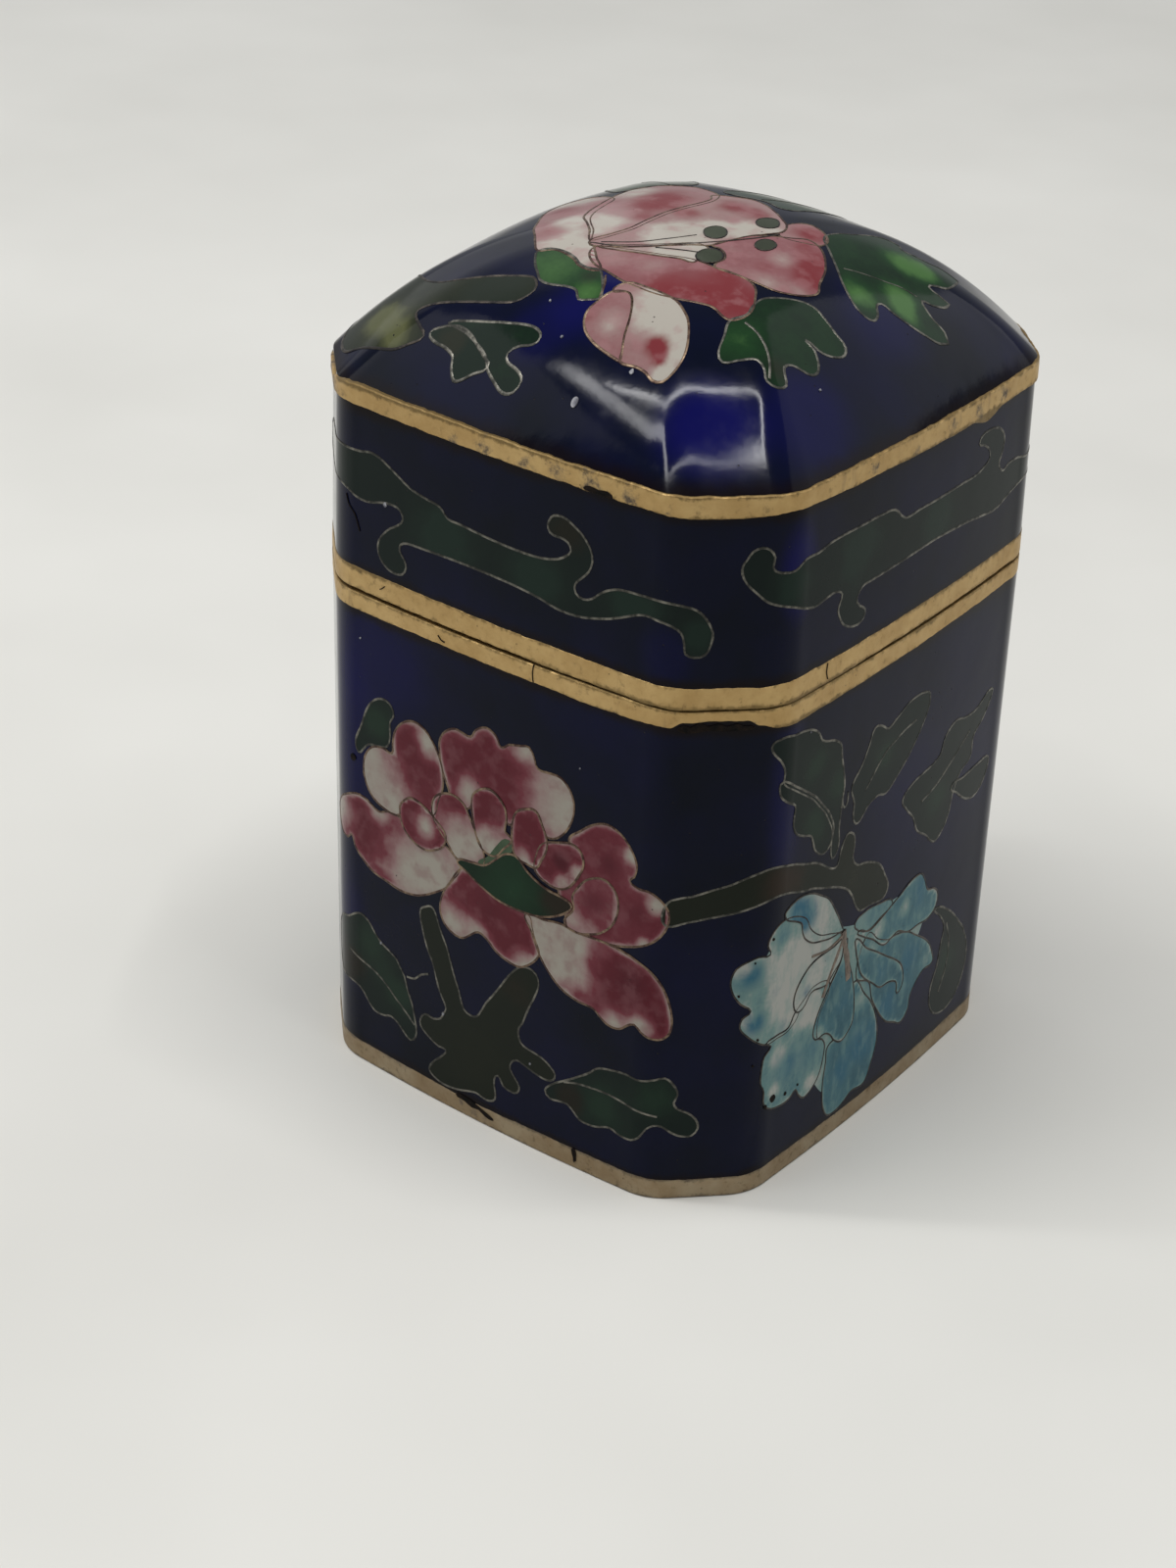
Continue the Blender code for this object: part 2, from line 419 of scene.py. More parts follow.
# warm in the middle of a band and olive along its edges, with specks, scratches and dark worn places
def giltBand(name, warm, warmPale, olive, grimy=0.35):
    paint = Paint(name)
    broad = paint.noise(brass["cloudSize"], 4.0, 0.6)
    colour = paint.ramp(broad, [(0.35, warm), (0.65, warmPale)])
    grime = paint.noise(brass["grimeSize"], 5.0, 0.7)
    edge = paint.plus(paint.attribute("edge"), paint.minus(broad, 0.5))
    edge = paint.plus(edge, paint.swing(grime, brass["edgeSwing"]))
    colour = paint.mix(paint.fade(edge, *brass["edgeFade"]), colour, olive)
    colour = paint.mix(paint.fade(grime, *brass["grimeFade"], grimy), colour, brass["grimeColour"])
    streaks = paint.noise(brass["streakSize"], 3.0, 0.6, (1.0, 1.0, 0.2))
    colour = paint.mix(paint.fade(streaks, *brass["streakFade"]), colour, brass["streakColour"])
    specks = paint.times(paint.specks(**brass["specks"]), brass["speckShare"])
    colour = paint.mix(specks, colour, brass["speckColour"])
    worn = paint.times(paint.attribute("worn"), brass["wornShare"])
    worn = paint.plus(worn, paint.swing(grime, brass["wornSwing"]))
    colour = paint.mix(paint.fade(worn, *brass["wornFade"]), colour, brass["wornColour"])
    paint.look("Base Color", colour)
    paint.look("Metallic", paint.fade(worn, *brass["metalFade"]))
    paint.look("Roughness", paint.fade(grime, *brass["roughFade"]))
    scratches = paint.noise(brass["scratchSize"], 4.0, 0.6, (1.0, 1.0, 6.0))
    scratched = paint.times(scratches, brass["scratchDepth"])
    paint.bump(paint.plus(scratched, paint.times(grime, brass["grimeDepth"])), brass["bump"])
    return paint.material


wireLook = {
    "tarnishSize": 1.1,
    "roughFade": (0.3, 0.7, 0.55, 0.34),
    "grainSize": 0.25,
    "bump": 0.5,
    "depth": 0.02,
}


def cellWire(name, bright, dark, metallic=0.75):
    paint = Paint(name)
    tarnish = paint.noise(wireLook["tarnishSize"], 4.0, 0.7)
    paint.look("Base Color", paint.ramp(tarnish, [(0.42, dark), (0.66, bright)]))
    paint.look("Metallic", metallic)
    paint.look("Roughness", paint.fade(tarnish, *wireLook["roughFade"]))
    paint.bump(paint.noise(wireLook["grainSize"]), wireLook["bump"], wireLook["depth"])
    return paint.material


counter = {"deep": (0.02, 0.09, 0.13), "light": (0.05, 0.20, 0.25), "cloudSize": 5.0, "gloss": 0.22}


def counterEnamel():
    paint = Paint("counterEnamel")
    clouds = paint.noise(counter["cloudSize"], 5.0, 0.6)
    colour = paint.ramp(clouds, [(0.3, counter["deep"]), (0.7, counter["light"])])
    return finishEnamel(paint, colour, counter["gloss"])


pitLook = {"cloudSize": 0.5, "roughness": 0.85, "specular": 0.15, "grainSize": 0.2, "bump": 0.8, "depth": 0.1}


# the bare bottom of a pit or a chip
def pitted(name, dark, bright):
    paint = Paint(name)
    paint.look("Base Color", paint.ramp(paint.noise(pitLook["cloudSize"]), [(0.35, dark), (0.7, bright)]))
    paint.look("Roughness", pitLook["roughness"])
    paint.look("Specular IOR Level", pitLook["specular"])
    paint.bump(paint.noise(pitLook["grainSize"]), pitLook["bump"], pitLook["depth"])
    return paint.material


cobalt = cobaltGround()
gilt = giltBand("giltBand", (0.44, 0.285, 0.108), (0.54, 0.37, 0.155), (0.17, 0.11, 0.036))
footBrass = giltBand("footBrass", (0.265, 0.19, 0.105), (0.35, 0.28, 0.18), (0.13, 0.10, 0.065), 0.6)
inside = counterEnamel()
print("materials for the ground, bands and inside made")


# walls and dome

# grows rings one out of another, and notes which ring faces belong to
def growRings(shape, rings, closed=True):
    order = shape.verts.layers.int.new("order")
    verts = [shape.verts.new(point) for point in rings[0]]
    for i, vert in enumerate(verts):
        vert[order] = i
    pairs = zip(verts, verts[1:] + verts[:1]) if closed else zip(verts, verts[1:])
    first = [shape.edges.new(pair) for pair in pairs]
    last = first
    strips = []
    for ring in rings[1:]:
        grown = bmesh.ops.extrude_edge_only(shape, edges=last)["geom"]
        tips = {item for item in grown if isinstance(item, bmesh.types.BMVert)}
        strips.append([item for item in grown if isinstance(item, bmesh.types.BMFace)])
        last = [edge for tip in tips for edge in tip.link_edges if edge.other_vert(tip) in tips]
        last = list(dict.fromkeys(last))
        for tip in tips:
            tip.co = ring[tip[order]]
    return first, last, strips


def addPiece(name, shape, materials, replaces=None, sharp=30):
    mesh = bpy.data.meshes.new(name)
    shape.to_mesh(mesh)
    shape.free()
    mesh.shade_smooth()
    mesh.set_sharp_from_angle(angle=math.radians(sharp))
    for material in materials:
        mesh.materials.append(material)
    piece = bpy.data.objects.new(name, mesh)
    bpy.context.scene.collection.objects.link(piece)
    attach(piece, "root")
    if replaces:
        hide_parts(replaces)


def faceOutwards(shape):
    bmesh.ops.recalc_face_normals(shape, faces=shape.faces)
    if shape.calc_volume(signed=True) < 0:
        bmesh.ops.reverse_faces(shape, faces=shape.faces)


def wallRing(inset, height):
    lean = jar["lidLean"] * min(max((height - jar["lidBase"]) / jar["lidWall"], 0.0), 1.0)
    return [Vector((x, y, height)) * mm for x, y in planOutline(inset + lean)]


def domeRing(inset, base, rise, share):
    extra = jar["domeRoundness"] * (1 - share)
    height = base + rise * (1 - share ** jar["domePower"])
    ring = []
    for x, y in planOutline(inset + jar["lidLean"]):
        reach = math.hypot(x, y)
        wanted = share * (reach + (jar["width"] / 2 - inset - jar["lidLean"] - reach) * extra)
        ring.append(Vector((x * wanted / reach, y * wanted / reach, height)) * mm)
    return ring


# each ring comes with the kind of the faces that run to it from the ring before
def buildVessel(name, node, kindRings):
    kinds = [kind for ring, kind in kindRings[1:]]
    shape = bmesh.new()
    first, last, strips = growRings(shape, [ring for ring, kind in kindRings])
    for strip, kind in zip(strips, kinds):
        for face in strip:
            face.material_index = kind
    for end, kind in ((first, kinds[0]), (last, kinds[-1])):
        cap = bmesh.ops.contextual_create(shape, geom=end)["faces"]
        for face in bmesh.ops.poke(shape, faces=cap)["faces"]:
            face.material_index = kind
    faceOutwards(shape)
    addPiece(name, shape, [cobalt, gilt, inside], node)


# kinds of face on a vessel
ofCobalt, ofGilt, ofInside = 0, 1, 2

body = {
    "foot": 0.12,
    "edge": 0.12,
    "footEdge": 0.1,
    "neckEdge": 0.15,
    "floorEdge": 0.6,
    "levels": (15.0, 30.0),
    "footRecess": 0.5,
    "footWidth": 1.1,
    "floor": 1.7,
    "neckOutside": 2.0,
    "neckInside": 2.7,
    "neckRise": 4.0,
    "neckRoot": 5.0,
}


def buildBody():
    foot, edge, neckEdge, floorEdge = (body[key] for key in ("foot", "edge", "neckEdge", "floorEdge"))
    top = jar["bodyTop"]
    neckTop, neckBase = top + body["neckRise"], top - body["neckRoot"]
    floor = body["footRecess"] + body["floor"]
    buildVessel("jarWall", "jar_body", [
        (wallRing(body["footWidth"], body["footRecess"]), ofInside),
        (wallRing(body["footWidth"], foot), ofInside),
        (wallRing(edge, foot), ofGilt),
        (wallRing(0.0, foot + body["footEdge"]), ofCobalt),
        *[(wallRing(0.0, level), ofCobalt) for level in body["levels"]],
        (wallRing(0.0, top - edge), ofCobalt),
        (wallRing(edge, top), ofGilt),
        (wallRing(body["neckOutside"], top), ofGilt),
        (wallRing(body["neckOutside"], neckTop - neckEdge), ofGilt),
        (wallRing(body["neckOutside"] + neckEdge, neckTop), ofGilt),
        (wallRing(body["neckInside"] - neckEdge, neckTop), ofGilt),
        (wallRing(body["neckInside"], neckTop - neckEdge), ofGilt),
        (wallRing(body["neckInside"], neckBase), ofGilt),
        (wallRing(jar["wall"], neckBase), ofInside),
        (wallRing(jar["wall"], floor + floorEdge), ofInside),
        (wallRing(jar["wall"] + floorEdge, floor), ofInside),
    ])


lid = {
    "domeRings": 34,
    "domeCrowding": 1.5,
    "edge": 0.12,
    "shoulderDrop": 0.4,
    "levels": (57.0, 52.0),
    "insideShares": (1.0, 0.95, 0.88, 0.78, 0.66, 0.52, 0.36, 0.2),
}


def buildLid():
    low, edge, count = jar["lidBase"], lid["edge"], lid["domeRings"]
    shares = [(1 - (1 - k / count) ** lid["domeCrowding"]) for k in range(1, count + 1)]
    rings = [(domeRing(0.0, shoulderTop, jar["domeRise"], share), ofCobalt) for share in shares]
    rings += [
        (wallRing(0.0, shoulderTop - lid["shoulderDrop"]), ofCobalt),
        *[(wallRing(0.0, level), ofCobalt) for level in lid["levels"]],
        (wallRing(0.0, low + edge), ofCobalt),
        (wallRing(edge, low), ofCobalt),
        (wallRing(jar["wall"], low), ofGilt),
    ]
    wall = jar["wall"]
    for share in lid["insideShares"]:
        rings.append((domeRing(wall, shoulderTop - wall, jar["domeRise"], share), ofInside))
    buildVessel("lidWall", "lid_shell", rings)


buildBody()
buildLid()
print("walls and dome built")


# gilt bands

# wander: offsets of a band's edges as (s, offset); worn: (s, z, radius) of dark worn places
bands = {
    "footBand": {
        "node": "foot_strip", "metal": footBrass, "low": 0.0, "high": 1.95, "proud": 0.02, "seed": 3,
        "highWander": [(-37, 0.1), (-30, 0.0), (-22, -0.15), (-14, 0.05), (-6, 0.1), (0, 0.0), (8, 0.05),
                       (20, -0.1), (32, 0.05)],
        "lowWander": [],
        "worn": [(-23.6, 1.2, 0.8), (-22.2, 0.9, 1.0), (-20.9, 0.6, 0.7), (-11.4, 1.6, 0.3),
                 (-1.0, 2.0, 0.35), (-34.8, 1.9, 0.4), (16.0, 1.8, 0.3), (-31.0, 1.9, 0.5), (-28.6, 1.8, 0.4),
                 (-17.5, 1.8, 0.4), (-14.0, 1.9, 0.35), (-7.0, 1.9, 0.4)],
    },
    "mouthBand": {
        "node": "mouth_strip", "metal": gilt, "low": 44.3, "high": 46.0, "proud": 0.03, "seed": 5,
        "highWander": [],
        "lowWander": [(-37, 0.1), (-28, 0.2), (-18, 0.1), (-10, 0.0), (-4.2, 0.2), (-3.2, 0.75), (-1.0, 0.85),
                      (1.8, 0.8), (2.7, 0.35), (4.2, -0.1), (5.6, -0.3), (9.0, -0.2), (18, 0.0), (30, 0.2),
                      (38, 0.3)],
        "worn": [(-1.8, 45.0, 0.6), (0.5, 44.9, 0.5), (-16.5, 44.9, 0.3), (-9.0, 44.6, 0.3),
                 (24.0, 44.6, 0.3), (2.2, 44.9, 0.4)],
    },
    "lidBand": {
        "node": "lid_strip", "metal": gilt, "low": 46.25, "high": 48.2, "proud": 0.03, "seed": 8,
        "highWander": [(-37, 0.15), (-28, 0.1), (-15, 0.0), (-5, -0.15), (2, -0.2), (12, -0.1), (25, 0.05),
                       (38, 0.1)],
        "lowWander": [(-40, 0.05), (-20, 0.03), (-14, -0.08), (-5, -0.16), (2, -0.19), (11, -0.17),
                      (17, -0.02), (30, 0.05), (40, 0.05)],
        "worn": [(-33.0, 47.9, 0.3), (-19.0, 46.8, 0.3), (13.0, 47.9, 0.25), (30.0, 47.6, 0.3)],
    },
    "shoulderBand": {
        "node": "shoulder_strip", "metal": gilt, "low": 61.8, "high": 63.6, "proud": 0.2, "seed": 13,
        "highWander": [(-50, 0.0), (-46, -0.7), (-41, -0.8), (-38.4, 0.0), (-36.5, 0.3), (-28, 0.25),
                       (-15, 0.1), (-4, 0.0), (10, 0.0), (30, 0.0)],
        "lowWander": [(-44, 0.2), (-38, 0.4), (-30, 0.35), (-18, 0.2), (-10, 0.1), (0, 0.0), (5, 0.3),
                      (12, 0.1), (22, -0.1), (28, -0.2), (30.5, -0.65), (33, -0.1), (38, 0.0)],
        "worn": [(-25.0, 62.2, 1.3), (-22.0, 62.6, 1.5), (-18.0, 62.5, 1.7), (-15.0, 62.5, 1.8),
                 (-12.0, 62.7, 1.8), (-8.6, 62.5, 1.4), (-5.0, 62.1, 0.9), (14.0, 62.6, 1.1),
                 (20.0, 62.3, 1.2), (25.0, 62.6, 1.4), (29.0, 62.3, 1.6), (33.0, 62.7, 1.6),
                 (-10.4, 62.3, 0.5), (-20.0, 63.2, 0.3), (6.0, 62.0, 0.35), (-30.0, 62.5, 0.3),
                 (-39.5, 62.6, 3.4), (-43.0, 62.8, 4.5), (-46.0, 62.8, 3.4)],
    },
}


# a band's section as (share of its height, lift), its ragged edges and its dents as (size, amount)
bandShape = {
    "steps": 1050,
    "section": [(0.0, -0.6), (0.0, -0.1), (0.05, 0.0), (0.28, 0.0), (0.5, 0.0), (0.72, 0.0), (0.95, 0.0),
                (1.0, -0.1), (1.0, -0.6)],
    "coarse": (1.6, 0.08),
    "fine": (0.45, 0.04),
    "dents": (2.6, 0.014),
}


def wandering(points, s):
    s = (s + roundTheJar / 2) % roundTheJar - roundTheJar / 2
    i = bisect.bisect_right([p[0] for p in points], s)
    first, second = points[i - 1], points[i % len(points)]
    gap = (second[0] - first[0]) % roundTheJar
    t = ((s - first[0]) % roundTheJar) / gap
    t = t * t * (3 - 2 * t)
    return first[1] + (second[1] - first[1]) * t


def ragged(s, seed, size, amount):
    angle = s / roundTheJar * math.tau
    radius = roundTheJar / math.tau / size
    return noise.noise(Vector((math.cos(angle) * radius, math.sin(angle) * radius, seed))) * amount


def bandEdge(place, wander, s, seed):
    if wander:
        place += wandering(wander, s)
        place += ragged(s, seed, *bandShape["coarse"]) + ragged(s, seed + 7, *bandShape["fine"])
    return place


def buildBand(name, facts):
    steps = [roundTheJar * k / bandShape["steps"] for k in range(bandShape["steps"])]
    seed = facts["seed"]
    rings = []
    for share, lift in bandShape["section"]:
        ring = []
        for s in steps:
            low = bandEdge(facts["low"], facts["lowWander"], s, seed)
            high = bandEdge(facts["high"], facts["highWander"], s, seed + 20)
            dent = ragged(s, seed + 40 + share * 3, *bandShape["dents"])
            onTop = lift > -0.3
            out = facts["proud"] + lift + (dent if onTop else 0.0)
            ring.append(onWall(s, low + (high - low) * share, out))
        rings.append(ring)
    rings.append(rings[0])
    shape = bmesh.new()
    growRings(shape, rings)
    bmesh.ops.remove_doubles(shape, verts=shape.verts, dist=1e-7)
    faceOutwards(shape)
    worn = shape.verts.layers.float.new("worn")
    edge = shape.verts.layers.float.new("edge")
    spots = [(onWall(s, z, 0.0), radius * mm) for s, z, radius in facts["worn"]]
    middle, half = (facts["low"] + facts["high"]) / 2, (facts["high"] - facts["low"]) / 2
    for vert in shape.verts:
        vert[worn] = max([0.0] + [1.0 - (vert.co - spot).length / radius for spot, radius in spots])
        vert[edge] = min(abs(vert.co.z / mm - middle) / half, 1.2) ** 2
    addPiece(name, shape, [facts["metal"]], facts["node"])


for name, facts in bands.items():
    buildBand(name, facts)
print("gilt bands built")


# drawing enamel cells and wires flat, then wrapping them

cellSizes = {
    "layerStep": 0.018,
    "sink": 0.25,
    "lineStep": 0.35,
    "turnStep": 0.3,
    "turnCuts": 8,
    "wireWidth": 0.2,
    "wireRise": 0.03,
    "wireSink": 0.1,
    "wireShoulder": 0.006,
    "wireCrown": 0.45,
}
# soft spots of paler or redder enamel: how far they spread, how uneven they are and how full
spotSizes = {"spread": 1.55, "uneven": 0.22, "gain": 1.15}


# a smooth line through listed points; a point given twice is a sharp corner
def smoothLine(points, closed=True):
    count = len(points)
    line = []
    for i in range(count if closed else count - 1):
        here, after = points[i], points[(i + 1) % count]
        reach = math.dist(here, after)
        if reach < 1e-6:
            continue
        before = points[i - 1] if closed or i > 0 else here
        beyond = points[(i + 2) % count] if closed or i + 2 < count else after
        pulls = []
        for a, b in ((before, after), (here, beyond)):
            run = max(math.dist(a, b), 1e-6)
            pulls.append(((b[0] - a[0]) / run * reach, (b[1] - a[1]) / run * reach))
        pieces = max(2, round(reach / cellSizes["lineStep"]))
        for k in range(pieces):
            t = k / pieces
            weights = (2 * t**3 - 3 * t**2 + 1, t**3 - 2 * t**2 + t, 3 * t**2 - 2 * t**3, t**3 - t**2)
            terms = (here, pulls[0], after, pulls[1])
            line.append(tuple(sum(w * term[c] for w, term in zip(weights, terms)) for c in (0, 1)))
    if not closed:
        line.append(points[-1])
    return line


def edgeDistance(x, y, line):
    best = 1e9
    for i in range(len(line)):
        ax, ay = line[i - 1]
        bx, by = line[i]
        dx, dy = bx - ax, by - ay
        t = ((x - ax) * dx + (y - ay) * dy) / max(dx * dx + dy * dy, 1e-12)
        t = min(max(t, 0.0), 1.0)
        best = min(best, (x - ax - dx * t) ** 2 + (y - ay - dy * t) ** 2)
    return math.sqrt(best)


# how far a point lies inside soft, uneven spots given as (x, y, radius) or (x, y, radius, strength)
def spotShare(x, y, spots):
    missing = 1.0
    for cx, cy, radius, *strength in spots:
        wobble = noise.noise(Vector((x * 0.45, y * 0.45, 7.0)))
        wobble += 0.5 * noise.noise(Vector((x * 1.1, y * 1.1, 2.0)))
        away = math.hypot(x - cx, y - cy) / (spotSizes["spread"] * radius)
        t = max(0.0, 1.0 - away + spotSizes["uneven"] * wobble)
        missing *= 1.0 - min(t * spotSizes["gain"], 1.0) * (strength[0] if strength else 1.0)
    return 1.0 - missing


# where a cell is cut across: closer together where the wall turns a corner
def cutPlaces(low, high, dice, turning):
    places = [low + k * dice for k in range(1, int((high - low) / dice) + 1)]
    if turning:
        cuts = cellSizes["turnCuts"]
        offsets = [k * cellSizes["turnStep"] for k in range(-cuts, cuts + 1)]
        for turn in turns:
            for middle in (turn, turn - roundTheJar, turn + roundTheJar):
                places += [middle + offset for offset in offsets if low < middle + offset < high]
    return sorted(places)


# one enamel cell: a flat face cut into small squares, thickened, shaded by its spots and rim, then wrapped
def addCell(shape, wrap, line, layer=1, pale=(), tone=(), rim=0.0, base=0.0, dice=0.6):
    paleLayer = shape.verts.layers.float["pale"]
    toneLayer = shape.verts.layers.float["tone"]
    line = smoothLine(line)
    face = shape.faces.new([shape.verts.new((x, y, -cellSizes["sink"])) for x, y in line])
    geometry = [face, *face.verts, *face.edges]
    for axis in (0, 1):
        low, high = min(p[axis] for p in line), max(p[axis] for p in line)
        normal = Vector((1, 0, 0)) if axis == 0 else Vector((0, 1, 0))
        for cut in cutPlaces(low, high, dice, axis == 0 and wrap is onWall):
            place = normal * cut
            halves = bmesh.ops.bisect_plane(shape, geom=geometry, dist=1e-5, plane_co=place, plane_no=normal)
            geometry = halves["geom"]
    verts = [item for item in geometry if isinstance(item, bmesh.types.BMVert)]
    for vert in verts:
        x, y = vert.co.x, vert.co.y
        share = base + spotShare(x, y, pale)
        if rim:
            broken = 0.75 + 0.9 * noise.noise(Vector((x * 0.35, y * 0.35, 4.0)))
            share = max(share, broken * (1.0 - edgeDistance(x, y, line) / rim))
        vert[paleLayer] = min(share, 1.2)
        vert[toneLayer] = spotShare(x, y, tone)
    faces = [item for item in geometry if isinstance(item, bmesh.types.BMFace)]
    grown = bmesh.ops.extrude_face_region(shape, geom=faces)["geom"]
    tops = [item for item in grown if isinstance(item, bmesh.types.BMVert)]
    lift = layer * cellSizes["layerStep"]
    for vert in tops:
        vert.co.z = lift
    for vert in set(verts) | set(tops):
        vert.co = wrap(*vert.co)


# one wire, standing a hair above the enamel, with a rounded top
def addWire(shape, wrap, line, layer, closed, width):
    line = smoothLine(line, closed)
    half = (width or cellSizes["wireWidth"]) / 2
    lift = layer * cellSizes["layerStep"]
    sides = []
    for i, here in enumerate(line):
        before = line[i - 1] if closed or i > 0 else here
        after = line[(i + 1) % len(line)] if closed or i + 1 < len(line) else here
        run = max(math.dist(before, after), 1e-6)
        sides.append(((before[1] - after[1]) / run, (after[0] - before[0]) / run))
    crown = half * cellSizes["wireCrown"]
    top = lift + cellSizes["wireRise"]
    shoulder = lift + cellSizes["wireShoulder"]
    low = -cellSizes["wireSink"]
    section = [(-half, low), (-half, shoulder), (-crown, top), (crown, top), (half, shoulder), (half, low)]
    rings = []
    for offset, height in section:
        ring = []
        for (x, y), (sx, sy) in zip(line, sides):
            uneven = 0.85 + 0.3 * noise.noise(Vector((x, y, 0)))
            ring.append(wrap(x + sx * offset * uneven, y + sy * offset, height))
        rings.append(ring)
    rings.append(rings[0])
    part = bmesh.new()
    growRings(part, rings, closed)
    bmesh.ops.remove_doubles(part, verts=part.verts, dist=1e-7)
    if not closed:
        ends = [edge for edge in part.edges if edge.is_boundary]
        bmesh.ops.holes_fill(part, edges=ends, sides=0)
    faceOutwards(part)
    part.verts.layers.int.remove(part.verts.layers.int["order"])
    mesh = bpy.data.meshes.new("wirePart")
    part.to_mesh(mesh)
    part.free()
    shape.from_mesh(mesh)
    bpy.data.meshes.remove(mesh)


def newEnamel():
    shape = bmesh.new()
    shape.verts.layers.float.new("pale")
    shape.verts.layers.float.new("tone")
    return shape


# a motif's cells make one piece and its wires another
def buildMotif(name, cells, wrap, material, wires=(), wireMaterial=None, wireWidth=None, dice=0.6):
    shape = newEnamel()
    wiring = bmesh.new()
    for cell in cells:
        facts = {key: value for key, value in cell.items() if key != "wired"}
        addCell(shape, wrap, dice=dice, **facts)
        if cell.get("wired", True):
            addWire(wiring, wrap, cell["line"], cell.get("layer", 1), True, wireWidth)
    for wire in wires:
        addWire(wiring, wrap, wire["line"], wire.get("layer", 1), False, wire.get("width", wireWidth))
    if cells:
        addPiece(name, shape, [material], sharp=60)
    else:
        shape.free()
    if wireMaterial:
        addPiece(name + "Wires", wiring, [wireMaterial], sharp=50)
    else:
        wiring.free()
    print(name, "drawn and wrapped")


# the peony on the front face, as (s, z) in millimetres

